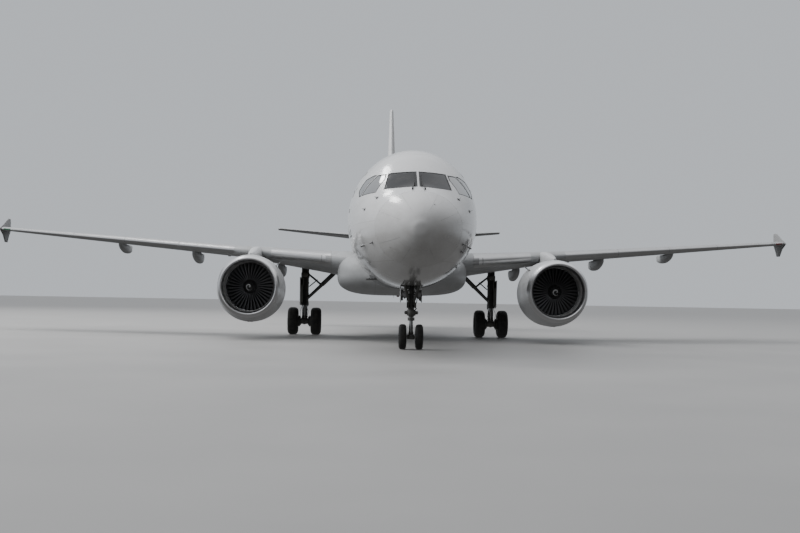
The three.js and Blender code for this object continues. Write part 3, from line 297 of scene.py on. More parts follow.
def noise(tree, coordinate, scale, detail=4.0, stretch=(1, 1, 1)):
    placed = addNode(tree, "Mapping", {"Vector": coordinate, "Scale": stretch}).outputs[0]
    return addNode(tree, "TexNoise", {"Vector": placed, "Scale": scale, "Detail": detail}).outputs["Fac"]


def grey(value, tint=(1, 1, 1)):
    return (value * tint[0], value * tint[1], value * tint[2], 1)


def startFinish(name, **values):
    material = bpy.data.materials.new(name)
    material.use_nodes = True
    tree = material.node_tree
    shader = tree.nodes["Principled BSDF"]
    for key, value in values.items():
        shader.inputs[key.replace("_", " ")].default_value = value
    coordinate = addNode(tree, "TexCoord").outputs["Object"]
    return material, tree, shader, coordinate


def feed(tree, shader, colour=None, roughness=None, height=None, strength=0.2, distance=0.01):
    if colour is not None:
        tree.links.new(colour, shader.inputs["Base Color"])
    if roughness is not None:
        tree.links.new(roughness, shader.inputs["Roughness"])
    if height is not None:
        bump = addNode(tree, "Bump", {"Height": height, "Strength": strength, "Distance": distance})
        tree.links.new(bump.outputs[0], shader.inputs["Normal"])


def seamLines(tree, value, period, width, shift=0.0):
    # 1 on thin lines that repeat along a value
    turn = reckon(tree, "FRACT", reckon(tree, "DIVIDE", reckon(tree, "ADD", value, shift), period))
    far = reckon(tree, "ABSOLUTE", reckon(tree, "SUBTRACT", turn, 0.5))
    return ramp(tree, far, 0.5 * width / period, 1.2 * width / period, 1.0, 0.0)


def paintFinish(name, colour, dirtAndShade, roughness, lines=(), soil=0.25, lowGrimeAndShade=0.0, coat=0.6, haze=0.1,
                shine=0.5):
    # gloss paint with a faint cloudiness, streaks along the airflow and seams between skin panels, and if
    # asked a darkening low down that is partly painted shade
    material, tree, shader, place = startFinish(
        name, Coat_Weight=coat, Coat_Roughness=haze, Specular_IOR_Level=shine)
    axes = addNode(tree, "SeparateXYZ", {0: place}).outputs
    cloud = noise(tree, place, 0.55, 5)
    streak = noise(tree, place, 3.0, 5, (1, 0.06, 1))
    mottle = noise(tree, place, 9.0, 6)
    wear = times(tree, ramp(tree, cloud, 0.35, 0.75), ramp(tree, streak, 0.42, 0.72))
    wear = reckon(tree, "ADD", wear, times(tree, ramp(tree, mottle, 0.45, 0.8), 0.25))
    tone = blendColour(tree, times(tree, wear, soil), colour, dirtAndShade)
    if lowGrimeAndShade:
        # road film low down, under the hull, deepened into painted shade and a painted brownish reflection of
        # the ground
        low = times(tree, ramp(tree, axes[2], 4.3, 2.0), ramp(tree, streak, 0.3, 0.7, 0.6, 1.0))
        tone = blendColour(tree, times(tree, low, lowGrimeAndShade), tone, dirtAndShade)
    height = times(tree, noise(tree, place, 42.0, 3), 0.12)
    for axis, period, width, shift in lines:
        line = seamLines(tree, axes[axis], period, width, shift)
        tone = blendColour(tree, times(tree, line, 0.42), tone, dirtAndShade)
        height = reckon(tree, "SUBTRACT", height, line)
    rough = ramp(tree, wear, 0.0, 1.0, roughness, roughness + 0.16)
    feed(tree, shader, tone, rough, height, 0.12, 0.004)
    return material


def metalFinish(name, colour, stain, roughness, grain=(1, 1, 1), scale=14.0, amount=0.4):
    # bare metal with drawn grain and stains
    material, tree, shader, place = startFinish(name, Metallic=1.0)
    line = noise(tree, place, scale, 6, grain)
    cloud = noise(tree, place, 1.6, 4)
    tone = blendColour(tree, times(tree, ramp(tree, cloud, 0.4, 0.75), amount), colour, stain)
    rough = reckon(tree, "ADD", ramp(tree, line, 0.3, 0.7, roughness * 0.9, roughness * 1.15),
                   ramp(tree, cloud, 0.4, 0.8, 0.0, 0.05))
    feed(tree, shader, tone, rough, line, 0.03, 0.001)
    return material


# the hull's paint darkens low down: painted shade and a painted reflection of the ground
whitePaint = paintFinish(
    "gloss white paint", grey(0.76, (1, 1.0, 1.0)), grey(0.30, (1, 0.93, 0.83)), 0.17,
    lines=((1, 2.67, 0.009, 0.4), (2, 1.06, 0.007, 0.12)), soil=0.3, lowGrimeAndShade=0.55)
smallPaint = paintFinish("white paint on fittings", grey(0.68), grey(0.33, (1, 0.95, 0.86)), 0.26, soil=0.4)
# the radome's paint darkens low down the same way: painted shade
radomePaint = paintFinish(
    "radome paint", grey(0.70, (1, 0.995, 0.985)), grey(0.30, (1, 0.93, 0.84)), 0.2, soil=0.35, lowGrimeAndShade=0.55)
greyPaint = paintFinish(
    "light grey wing paint", grey(0.38, (0.98, 1, 1.01)), grey(0.18, (1, 0.97, 0.9)), 0.42,
    lines=((0, 1.63, 0.009, 0.2),), soil=0.45, coat=0.1, haze=0.3, shine=0.3)
tailPaint = paintFinish(
    "white tail paint", grey(0.72), grey(0.32, (1, 0.94, 0.85)), 0.45, lines=((2, 1.31, 0.008, 0.3),),
    soil=0.35, coat=0.0, shine=0.1)
# dark grey fences: painted shade on their faces, with some soiling
shadedFencePaint = paintFinish("soiled fence paint in painted shade", grey(0.3), grey(0.14, (1, 0.97, 0.88)), 0.5, soil=0.5,
                         coat=0.0, shine=0.2)
# near-black finish of the gear doors' inner faces and ribs: painted shade
shadedDoorPaint = paintFinish("gear door lining in painted shade", grey(0.10, (1, 1, 0.92)), grey(0.045), 0.5, soil=0.6,
                        coat=0.0)
lipMetal = metalFinish(
    "polished inlet metal", grey(0.74, (1, 1, 1.01)), grey(0.6, (1, 0.97, 0.9)), 0.3, grain=(1, 6, 1),
    scale=5, amount=0.25)
slatMetal = metalFinish("bare leading edge metal", grey(0.52), grey(0.4, (1, 0.97, 0.92)), 0.38,
                        grain=(0.2, 1, 1), scale=9, amount=0.25)
hotMetal = metalFinish(
    "heat stained nozzle alloy", grey(0.30, (1, 0.9, 0.78)), grey(0.16, (1, 0.82, 0.66)), 0.34, amount=0.8)
bladeMetal = metalFinish("dark fan blade metal", grey(0.15, (1, 1, 1.04)), grey(0.08), 0.3, amount=0.5)
edgeMetal = metalFinish("weathered tail edge metal", grey(0.26), grey(0.16, (1, 0.95, 0.85)), 0.42,
                        grain=(0.2, 1, 1), scale=9, amount=0.5)
# chrome darkened as painted shade of the gear
shadedStrutMetal = metalFinish("strut chrome in painted shade", grey(0.36), grey(0.2, (1, 0.95, 0.88)), 0.2, grain=(1, 1, 12),
                         scale=6)
rimMetal = metalFinish("wheel metal", grey(0.42), grey(0.12, (1, 0.9, 0.78)), 0.38, amount=0.7)
steelMetal = metalFinish("dark steel", grey(0.16), grey(0.07, (1, 0.85, 0.7)), 0.42, amount=0.6)


def legFinish():
    # grey enamel over forgings, darkened nearly black as painted shade, with oily dust in its hollows
    material, tree, shader, place = startFinish("shaded enamel of the gear", Coat_Weight=0.25, Coat_Roughness=0.2)
    cloud = noise(tree, place, 4.0, 6)
    dust = noise(tree, place, 18.0, 6)
    # near-black greys: painted shade of the gear under the wing
    tone = blendColour(tree, ramp(tree, cloud, 0.4, 0.7, 0.0, 0.8), grey(0.11, (1, 1, 0.93)),
                       grey(0.045, (1, 0.9, 0.78)))
    tone = blendColour(tree, ramp(tree, dust, 0.55, 0.8, 0.0, 0.4), tone, grey(0.2, (1, 0.93, 0.84)))
    feed(tree, shader, tone, ramp(tree, dust, 0.3, 0.7, 0.34, 0.55), dust, 0.25, 0.003)
    return material


def rubberFinish():
    # black rubber, greyer where it is scuffed and dusty
    material, tree, shader, place = startFinish("tyre rubber")
    dust = noise(tree, place, 7.0, 7)
    grain = noise(tree, place, 120.0, 3)
    tone = blendColour(tree, ramp(tree, dust, 0.4, 0.72), grey(0.013), grey(0.045, (1, 0.95, 0.88)))
    feed(tree, shader, tone, ramp(tree, dust, 0.3, 0.7, 0.62, 0.88), grain, 0.3, 0.003)
    return material


def glassFinish(name, colour, film, coat=0.4, shine=0.06):
    # dark glazing that mirrors the sky, with a thin film of dust
    material, tree, shader, place = startFinish(
        name, Coat_Weight=coat, Coat_Roughness=0.03, Specular_IOR_Level=shine)
    smear = noise(tree, place, 2.2, 6, (1, 1, 0.4))
    tone = blendColour(tree, ramp(tree, smear, 0.45, 0.8, 0.0, 0.5), colour, film)
    feed(tree, shader, tone, ramp(tree, smear, 0.4, 0.8, 0.05, 0.16))
    return material


def lampFinish(name, colour, glow):
    material, tree, shader, place = startFinish(name, Roughness=0.08, Coat_Weight=1.0, Emission_Strength=glow)
    facets = noise(tree, place, 60.0, 2)
    tone = blendColour(tree, ramp(tree, facets, 0.35, 0.65), colour, [c * 0.7 for c in colour[:3]] + [1])
    tree.links.new(tone, shader.inputs["Base Color"])
    tree.links.new(tone, shader.inputs["Emission Color"])
    return material


def sealFinish():
    material, tree, shader, place = startFinish("black seal")
    grain = noise(tree, place, 30.0, 5)
    tone = blendColour(tree, grain, grey(0.012), grey(0.035, (1, 0.96, 0.9)))
    feed(tree, shader, tone, ramp(tree, grain, 0.3, 0.7, 0.45, 0.7), grain, 0.2, 0.002)
    return material


shadedGearPaint = legFinish()
rubber = rubberFinish()
cockpitGlass = glassFinish("cockpit glass", grey(0.012, (0.9, 1, 1.15)), grey(0.07, (1, 0.9, 0.8)))
# side panes lighter than the windshield: a painted reflection of bright sky, over a thin film of dust
sheenedSideGlass = glassFinish("side panes with painted sheen", grey(0.07, (0.93, 1, 1.08)), grey(0.2, (1, 0.97, 0.92)), 1.0, 0.9)
cabinGlass = glassFinish("cabin glass", grey(0.02, (0.95, 1, 1.1)), grey(0.08))
lampGlass = lampFinish("lamp glass", grey(0.3), 0.0)
redLamp = lampFinish("red lamp glass", (0.2, 0.01, 0.01, 1), 0.0)
greenLamp = lampFinish("green lamp glass", (0.01, 0.12, 0.05, 1), 0.0)
blackSeal = sealFinish()
print("finishes ready")

# Stage: a plain pale floor, and soft light from a wide sky and two large panels
stageSizes = {"floor": 1600.0, "skyStrength": 1.0, "topPower": 3400, "sidePower": 9000,
              "backPower": 30000, "glintPower": 4600, "dimming": 0.9, "below": 0.14}


def makeStage():
    bpy.ops.mesh.primitive_plane_add(size=stageSizes["floor"])
    floor = bpy.context.object
    floor.name = "floor"
    material, tree, shader, place = startFinish("pale floor")
    patch = noise(tree, place, 0.3, 6)
    tone = blendColour(tree, ramp(tree, patch, 0.35, 0.65),
                       *(grey(v, (1, 0.985, 0.96)) for v in (0.33, 0.37)))
    feed(tree, shader, tone, ramp(tree, patch, 0.3, 0.7, 0.5, 0.6))
    floor.data.materials.append(material)
    floor.visible_diffuse = False
    floor.visible_glossy = False

    world = bpy.data.worlds.new("studio sky")
    bpy.context.scene.world = world
    world.use_nodes = True
    tree = world.node_tree
    across, along, up = addNode(tree, "SeparateXYZ",
                                {0: addNode(tree, "TexCoord").outputs["Generated"]}).outputs
    tone = blendColour(tree, ramp(tree, up, 0.26, 0.75), grey(0.60, (0.95, 1, 1.06)),
                       grey(1.25, (0.98, 1, 1.04)))
    # the sky is dimmer to the right and in front of the nose, and dark below the horizon
    away = reckon(tree, "SUBTRACT", times(tree, across, 0.8),
                  times(tree, along, 0.8))
    tone = blendColour(tree, ramp(tree, away, -0.1, 0.7, 0.0, stageSizes["dimming"]), tone, grey(0.1))
    tone = blendColour(tree, ramp(tree, up, -0.02, -0.15), tone, grey(stageSizes["below"]))
    background = tree.nodes["Background"]
    tree.links.new(tone, background.inputs["Color"])
    background.inputs["Strength"].default_value = stageSizes["skyStrength"]

    # large soft panels for the shape of the hull, and a small one for the glint beside the windshield
    panels = (
        ("top", (-8, 8, 34), (0, 0, 0), 34, False),
        ("side", (-42, -14, 22), (66, 0, -72), 22, False),
        ("back", (-46, 40, 58), (-43, -33, 0), 36, False),
        ("glint", (-28, 38, 58), (48.5, 0, -153), 11, True))
    for name, place, turn, size, glossy in panels:
        bpy.ops.object.light_add(type="AREA", location=place, rotation=[radians(a) for a in turn])
        lamp = bpy.context.object
        lamp.name = name + " panel"
        lamp.data.size = size
        lamp.data.energy = stageSizes[name + "Power"]
        lamp.visible_glossy = glossy


makeStage()
print("stage ready")

# Fuselage

hull = {
    "rows": (  # station, crown, keel, half width, height of the widest level
        (0.06, 3.545, 3.085, 0.25, 3.31), (0.2, 3.745, 2.9, 0.44, 3.32), (0.5, 3.99, 2.69, 0.705, 3.345),
        (0.9, 4.215, 2.5, 0.96, 3.385), (1.35, 4.415, 2.35, 1.18, 3.435), (1.8, 4.6, 2.235, 1.355, 3.49),
        (2.2, 4.84, 2.15, 1.48, 3.545), (2.6, 5.095, 2.08, 1.585, 3.6), (3.0, 5.33, 2.025, 1.67, 3.655),
        (3.6, 5.64, 1.97, 1.768, 3.725), (4.3, 5.865, 1.92, 1.85, 3.79), (5.2, 5.985, 1.88, 1.925, 3.85),
        (6.3, 6.014, 1.862, 1.965, 3.885), (7.5, 6.02, 1.86, 1.975, 3.9), (24.2, 6.02, 1.86, 1.975, 3.9),
        (25.6, 6.02, 1.945, 1.962, 3.92), (27.2, 6.01, 2.21, 1.905, 4.01), (29.0, 5.98, 2.63, 1.78, 4.14),
        (31.0, 5.905, 3.11, 1.56, 4.32), (33.0, 5.775, 3.59, 1.24, 4.54), (35.0, 5.575, 4.03, 0.85, 4.74),
        (36.5, 5.38, 4.325, 0.53, 4.84), (37.57, 5.205, 4.53, 0.29, 4.87)),
    "around": 128,
    "radomeEnd": 1.35, "forwardEnd": 11.5, "centreEnd": 20.7, "aftEnd": 35.9,
    "noseTip": 3.305, "radomeThick": 0.035,
}


def hullAt(station):
    # crown, keel, half width and widest level on a smooth curve through the rows
    rows = hull["rows"]
    last = len(rows) - 1
    i = max(k for k in range(last) if k == 0 or rows[k][0] <= station)
    a, b = rows[i], rows[i + 1]
    width = b[0] - a[0]
    t = (station - a[0]) / width

    def slope(k, column):
        before = (rows[k][column] - rows[max(k - 1, 0)][column]) / max(
            rows[k][0] - rows[max(k - 1, 0)][0], 1e-3)
        after = (rows[min(k + 1, last)][column] - rows[k][column]) / max(
            rows[min(k + 1, last)][0] - rows[k][0], 1e-3)
        if k in (0, last):
            return after if k == 0 else before
        return 0.0 if before * after <= 0 else 2 * before * after / (before + after)

    sizes = []
    for column in range(1, 5):
        m0, m1 = slope(i, column) * width, slope(i + 1, column) * width
        sizes.append((2 * t ** 3 - 3 * t ** 2 + 1) * a[column] + (t ** 3 - 2 * t ** 2 + t) * m0
                     + (3 * t ** 2 - 2 * t ** 3) * b[column] + (t ** 3 - t ** 2) * m1)
    return sizes


def hullPoint(station, angle, grow=0.0):
    # a point on the skin: angle 0 is the left side's widest level and 90 degrees the crown
    crown, keel, half, waist = hullAt(station)
    up = sin(angle)
    reach = (crown - waist if up > 0 else waist - keel) + grow
    return Vector(((half + grow) * cos(angle), stationY(station), waist + reach * up))


def sidePoint(side, station, height, grow=0.0):
    # the point of the skin on one side at a height
    crown, keel, half, waist = hullAt(station)
    reach = crown - waist if height > waist else waist - keel
    angle = asin(max(-1, min(1, (height - waist) / reach)))
    return hullPoint(station, angle if side > 0 else pi - angle, grow)


def hullStations(start, end):
    # close together over the nose, further apart along the straight middle
    stations = [start]
    while stations[-1] < end - 1e-6:
        here = stations[-1]
        step = 0.1 if here < 4.5 else 0.25 if here < 8 else 1.2 if here < 23 else 0.5
        stations.append(min(here + step, end))
    if len(stations) > 2 and stations[-1] - stations[-2] < 0.03:
        del stations[-2]
    return stations


def hullSolid(name, start, end, grow=0.0):
    around = hull["around"]
    angles = turns(around, 0.5)
    return layRings(name, [[hullPoint(s, a, grow) for a in angles] for s in hullStations(start, end)])


cargoDoors = {
    "forward": (8.35, 10.17), "aft": (22.3, 24.12), "angles": (16, 60), "thickness": 0.12, "seam": 0.008,
    "floor": 2.13, "roof": 3.26, "farSide": 0.9, "waist": 3.9,
    "hingeX": -1.896, "hingeZ": 3.358, "bead": 0.014, "bore": 0.004, "endGap": 0.012,
}


def doorWedge(start, end, gap=0.0):
    # the wedge that a cargo door is cut with, its edges square to the skin
    outline = []
    for k, degrees in enumerate(cargoDoors["angles"]):
        angle = radians(degrees)
        out = Vector((-cos(angle), 0, -sin(angle)))
        across = Vector((out.z, 0, -out.x)) if k == 0 else Vector((-out.z, 0, out.x))
        near = Vector((0, stationY(start - gap), cargoDoors["waist"])) + gap * across
        reach = (0.4, 2.6) if k == 0 else (2.6, 0.4)
        outline += [near + out * r for r in reach]
    return prism("door wedge", outline, (0, end - start + 2 * gap, 0))


glazing = {
    "front": ((0.045, 4.575), (0.925, 4.52), (0.79, 5.02), (0.045, 5.06)),
    "sides": (((2.33, 4.44), (3.17, 4.413), (3.11, 4.991), (2.72, 4.985)),
              ((3.25, 4.41), (3.42, 4.405), (3.8, 4.6), (3.7, 4.9), (3.33, 5.0), (3.19, 4.995))),
    "depth": 0.06, "post": 0.08, "seal": 0.02,
}


def centreOf(outline):
    return [sum(p[k] for p in outline) / len(outline) for k in (0, 1)]


def grown(outline, by):
    # the outline with each corner moved away from the middle
    cx, cz = centreOf(outline)
    made = []
    for x, z in outline:
        far = hypot(x - cx, z - cz)
        made.append((x + (x - cx) * by / far, z + (z - cz) * by / far))
    return made


def frontPane(side, by=0.0):
    outline = [(side * x, stationY(1.4), z) for x, z in grown(glazing["front"], by)]
    return prism("front pane", outline, (0, 1.9, 0))


def sidePane(side, by=0.0):
    panes = []
    for outline in glazing["sides"]:
        corners = [(side * 0.7, stationY(s), z) for s, z in grown(outline, by)]
        panes.append(prism("side pane", corners, (side * 1.4, 0, 0)))
    return cut(joined("side panes", panes), frontPane(side, glazing["post"] - by))


def paneLayer(outer, inner):
    # the layer of the hull around the flight deck between two depths
    shell = hullSolid("pane layer", 1.4, 4.3, -outer)
    return cut(shell, hullSolid("pane core", 1.38, 4.7, -inner))


def makeGlazing():
    for side, name in ((1, "left"), (-1, "right")):
        for kind, pane, finish, node in (
                ("windshield", frontPane, cockpitGlass, "windshield"),
                ("side_window", sidePane, sheenedSideGlass, f"side_glazing_{name}")):
            glass = cut(paneLayer(0.004, 0.05), pane(side), "INTERSECT")
            seal = cut(cut(paneLayer(-0.002, 0.03), pane(side, glazing["seal"]), "INTERSECT"),
                       pane(side, -0.012))
            finished(glass, f"{kind}_{name}", finish, "cockpit_glass", node)
            finished(seal, f"{kind}_seal_{name}", blackSeal, "cockpit_glass")
    print("flight deck glazing made")


noseBay = {"half": 0.33, "front": 4.65, "back": 5.75, "low": 1.4, "roof": 2.45}
outlet = {"height": 4.8675, "radius": 0.2, "deep": 0.42}


def makeRadome():
    # rings from the tip, where they close, with a round cap inside the first row
    angles = turns(hull["around"], 0.5)
    tip = Vector((0, stationY(0), hull["noseTip"]))
    start = hull["rows"][0][0]
    first = [hullPoint(start, a) for a in angles]
    rings = [[tip] * hull["around"]]
    for share in (0.12, 0.3, 0.5, 0.75):
        y = stationY(start * (1 - sqrt(1 - share ** 2)))
        rings.append([Vector((p.x * share, y, tip.z + (p.z - tip.z) * share)) for p in first])
    rings += [[hullPoint(s, a) for a in angles] for s in (start, 0.09, 0.13, *hullStations(0.18, 1.344))]
    radome = layRings("radome_shell", rings)
    cut(radome, hullSolid("radome inside", 0.25, 1.4, -hull["radomeThick"]))
    finished(radome, "radome_shell", radomePaint, "radome_paint", "radome", "radome")


def cutCargoDoor(obj, key):
    # the door from its own layer of the hull, the opening, the hold behind it and the bore for the hinge bead
    size = cargoDoors
    start, end = size[key]
    cut(obj, doorWedge(start, end, size["seam"]))
    cut(obj, slab((-2.4, stationY(start + 0.04), size["floor"]),
                  (size["farSide"], stationY(end - 0.04), size["roof"])))
    door = hullSolid("door", start - 0.6, end + 0.6)
    cut(door, hullSolid("door core", start - 0.7, end + 0.7, -size["thickness"]))
    cut(door, doorWedge(start, end), "INTERSECT")
    hinge, bore = (rod((size["hingeX"], stationY(start + short), size["hingeZ"]),
                       (size["hingeX"], stationY(end - short), size["hingeZ"]), radius, sides=16)
                   for short, radius in ((size["endGap"], size["bead"]),
                                         (-size["seam"], size["bead"] + size["bore"])))
    cut(obj, bore)
    name = f"cargo_door_{key}"
    finished([door, hinge], f"{name}_panel", whitePaint, "white_paint", name, name)


def makeHull():
    makeRadome()
    sections = {}
    for name, start, end in (("forward", hull["radomeEnd"], hull["forwardEnd"]),
                             ("aft", hull["centreEnd"], hull["aftEnd"]),
                             ("centre", hull["forwardEnd"], hull["centreEnd"])):
        sections[name] = hullSolid(name + " hull", start, end)
    for side in (1, -1):
        for pane in (frontPane, sidePane):
            tool = cut(pane(side, 0.003), hullSolid("core", 1.34, 4.4, -glazing["depth"]))
            cut(sections["forward"], tool)
    half = noseBay["half"]
    cut(sections["forward"], slab((-half, stationY(noseBay["front"]), noseBay["low"]),
                                  (half, stationY(noseBay["back"]), noseBay["roof"])))
    for key in ("forward", "aft"):
        cutCargoDoor(sections[key], key)
    for key, section in sections.items():
        finished(section, f"{key}_hull", whitePaint, "white_paint", f"fuselage_{key}")

    tail = hullSolid("tail", hull["aftEnd"], length)
    cut(tail, rod((0, stationY(length - outlet["deep"]), outlet["height"]),
                  (0, stationY(length + 0.05), outlet["height"]), outlet["radius"], sides=48))
    finished(tail, "tail_hull", greyPaint, "grey_paint", "tail_cone")
    print("hull made")


makeHull()
makeGlazing()

bellyRows = (  # station, half width, bottom, top, squareness of the corners
    (10.3, 1.25, 1.85, 2.9, 2.2), (11.5, 1.9, 1.77, 3.05, 2.6), (13.0, 2.33, 1.68, 3.25, 3.2),
    (15.0, 2.43, 1.64, 3.32, 3.6), (18.5, 2.43, 1.64, 3.32, 3.6), (20.6, 2.25, 1.68, 3.25, 3.2),
    (21.7, 1.85, 1.76, 3.05, 2.6), (22.4, 1.35, 1.84, 2.9, 2.2))


def curvedRow(rows, place):
    # as rowAt, on a smooth curve through the rows
    i = rowBefore(rows, place)
    near = [rows[k] for k in (max(i - 1, 0), i, i + 1, min(i + 2, len(rows) - 1))]
    sa, sb, sc, sd = (row[0] for row in near)
    t = (place - sb) / (sc - sb)
    made = []
    for a, b, c, d in zip(*near):
        m1 = (c - a) / max(sc - sa, 1e-6) * (sc - sb) if (b - a) * (c - b) > 0 else 0
        m2 = (d - b) / max(sd - sb, 1e-6) * (sc - sb) if (c - b) * (d - c) > 0 else 0
        made.append((2 * t ** 3 - 3 * t ** 2 + 1) * b + (t ** 3 - 2 * t ** 2 + t) * m1
                    + (3 * t ** 2 - 2 * t ** 3) * c + (t ** 3 - t ** 2) * m2)
    return made


def squircle(middle, half, reach, y, power, count):
    # a ring of an upright section with squared corners
    return [Vector((middle.x + half * copysign(abs(cos(a)) ** power, cos(a)), y,
                    middle.y + reach * copysign(abs(sin(a)) ** power, sin(a)))) for a in turns(count, 0.5)]


def makeBelly():
    rings = []
    for station in spread(bellyRows[0][0], bellyRows[-1][0], 50):
        here, half, bottom, top, power = curvedRow(bellyRows, station)
        rings.append(squircle(Vector((0, (top + bottom) / 2)), half, (top - bottom) / 2, stationY(station),
                              2 / power, 72))
    belly = layRings("belly", rings)
    cut(belly, hullSolid("hull cutter", 9.0, 25.0, -0.01))
    cut(belly, doorWedge(*cargoDoors["aft"], 0.006))
    finished(belly, "belly_fairing_shell", greyPaint, "white_paint", "belly_fairing")
    print("belly fairing made")


makeBelly()


# Wings and tail: every surface is a section given by its place and by u, from 1 at the upper trailing edge
# through 0 at the leading edge to -1 below

foilCurve = (0.2969, -0.126, -0.3516, 0.2843, -0.1008)
foilSteps = [1 - 2 * k / 64 for k in range(65)]


def foilHalf(share, thick):
    a, b, c, d, e = foilCurve
    return 5 * thick * (a * sqrt(share) + b * share + c * share ** 2 + d * share ** 3 + e * share ** 4)


def foilPoint(u, thick, camber, chord, grow=0.0):
    # how far a section's point lies aft and up, in metres, moved outwards by grow
    def bare(v):
        share = min(v * v, 1.0)
        return Vector((share, camber * 4 * share * (1 - share) + copysign(foilHalf(share, thick), v))) * chord

    here = bare(u)
    if grow:
        step = bare(u + 0.004) - bare(u - 0.004) if abs(u) < 0.996 else bare(u) - bare(u * 0.99)
        if u <= -0.996:
            step.negate()
        here = here + Vector((-step.y, step.x)).normalized() * grow
    return here


wingRows = (  # across, station of the leading edge, chord, height, thickness share, nose-up degrees
    (1.5, 12.35, 6.48, 2.8, 0.15, 4.5), (2.9, 13.37, 5.44, 2.95, 0.145, 4.2),
    (6.3, 15.11, 3.74, 3.27, 0.118, 2.2), (16.9, 20.52, 1.54, 4.215, 0.108, -0.5))
wingParts = {
    "innerFlap": {"from": 2.56, "to": 6.25, "front": 17.96, "back": 18.87},
    "outerFlap": {"from": 6.33, "to": 13.25, "share": 0.74},
    "aileron": {"from": 13.36, "to": 15.95, "share": 0.73, "endGap": 0.028},
    "seam": 0.008,
    # across from and to, for each slat and each spoiler
    "slats": ((2.66, 4.95), (6.42, 8.72), (8.76, 11.1), (11.14, 13.45), (13.49, 16.3)),
    "spoilers": ((3.3, 6.2), (6.5, 8.1), (8.16, 9.76), (9.82, 11.42), (11.48, 13.1)),
}


def betweenRows(rows, place, pointOf):
    i = rowBefore(rows, place)
    t = (place - rows[i][0]) / (rows[i + 1][0] - rows[i][0])
    return pointOf(rows[i]).lerp(pointOf(rows[i + 1]), t)


def wingSkin(x, u, grow=0.0):
    def pointOf(row):
        across, edge, chord, height, thick, degrees = row
        aft, up = foilPoint(u, thick, 0.018, chord, grow)
        turn = radians(degrees)
        return Vector((across, stationY(edge + aft * cos(turn) + up * sin(turn)),
                       height + up * cos(turn) - aft * sin(turn)))
    return betweenRows(wingRows, x, pointOf)


finRows = ((5.35, 28.95, 6.45), (6.5, 30.13, 5.52), (12.0, 34.5, 1.93))  # height, leading edge, chord
dorsalRows = ((5.3, 26.9, 3.4), (5.96, 27.9, 3.1), (6.7, 30.0, 1.9))
stabRows = ((0.5, 31.95, 3.5, 4.74), (6.225, 35.48, 1.33, 5.34))  # across, leading edge, chord, height
tailParts = {
    "rudder": {"from": 6.42, "to": 11.56, "share": 0.7, "endGap": 0.045},
    "elevator": {"from": 1.33, "to": 5.98, "share": 0.69, "endGap": 0.032},
}


def finSkin(z, u, grow=0.0, rows=finRows, thick=0.1):
    def pointOf(row):
        aft, up = foilPoint(u, thick, 0.0, row[2], grow)
        return Vector((up, stationY(row[1] + aft), row[0]))
    return betweenRows(rows, z, pointOf)


def stabSkin(x, u, grow=0.0):
    def pointOf(row):
        aft, up = foilPoint(u, 0.1, 0.0, row[2], grow)
        return Vector((row[0], stationY(row[1] + aft), row[3] + up))
    return betweenRows(stabRows, x, pointOf)


def skinSolid(name, skin, places):
    return layRings(name, [[skin(p, u) for u in foilSteps] for p in places])


def skinPatch(name, skin, place0, place1, u0, u1, grow=0.003, depth=0.012, across=10, along=12):
    # a thin panel that lies on a skin between two places and two u values
    rings = []
    for p in spread(place0, place1, across):
        outer = [skin(p, u, grow) for u in spread(u0, u1, along)]
        inner = [skin(p, u, grow - depth) for u in spread(u1, u0, along)]
        rings.append(outer + inner)
    return layRings(name, rings)


def mirrored(obj, name):
    made = twin(obj, name)
    made.scale.x = -1
    return tidyMesh(bake(made), gap=0.00002)


def flipped(obj):
    # the mirror image in the place of a piece
    other = mirrored(obj, "other")
    bpy.data.objects.remove(obj)
    return other


def both(obj, other, name, material, slot, node, body):
    for piece, side in ((obj, "left"), (other, "right")):
        finished(piece, name.format(side), material, slot, node and node.format(side), body.format(side))
    return obj, other


def pair(obj, name, material, slot, node=None, body="airframe"):
    # the left piece, and its mirror image on the right
    if isinstance(obj, list):
        obj = joined(name, obj)
    return both(obj, mirrored(obj, "other"), name, material, slot, node, body)


def rearOutline(rows, part, gap=0.0):
    # the part of a wing or a tail surface behind a share of its chord, as [place, station] corners
    def line(p, share):
        row = rowAt(rows, p)
        return row[1] + share * row[2]

    a, b = part["from"] - gap, part["to"] + gap
    return [(a, line(a, part["share"])), (b, line(b, part["share"])), (b, line(b, 1) + 0.6),
            (a, line(a, 1) + 0.6)]


def uprightPrism(outline, low, high):
    return prism("outline", [(x, stationY(s), low) for x, s in outline], (0, 0, high - low))


def crossPrism(outline):
    return prism("outline", [(-0.7, stationY(s), z) for z, s in outline], (1.4, 0, 0))


def hingedPanel(solid, tool, rows, part, skin, clearance, name):
    # the moving panel with a round nose on the surface's middle line, cut from a copy of the whole surface,
    # which gets its room
    u = sqrt(part["share"])
    (a, ra), (b, rb) = [((skin(p, u) + skin(p, -u)) / 2, (skin(p, u) - skin(p, -u)).length / 2)
                        for p in (part["from"], part["to"])]
    along = (b - a).normalized()
    panel = cut(twin(solid, name), tool(rearOutline(rows, part)), "INTERSECT")
    nose = rod(a, b, ra * 0.97, rb * 0.97, sides=48)
    end = part["endGap"]
    cut(solid, tool(rearOutline(rows, dict(part, **{"from": part["from"] - end, "to": part["to"] + end}))))
    cut(solid, rod(a - along * end, b + along * end, ra + clearance, rb + clearance, sides=48))
    return joined(name, [panel, nose])


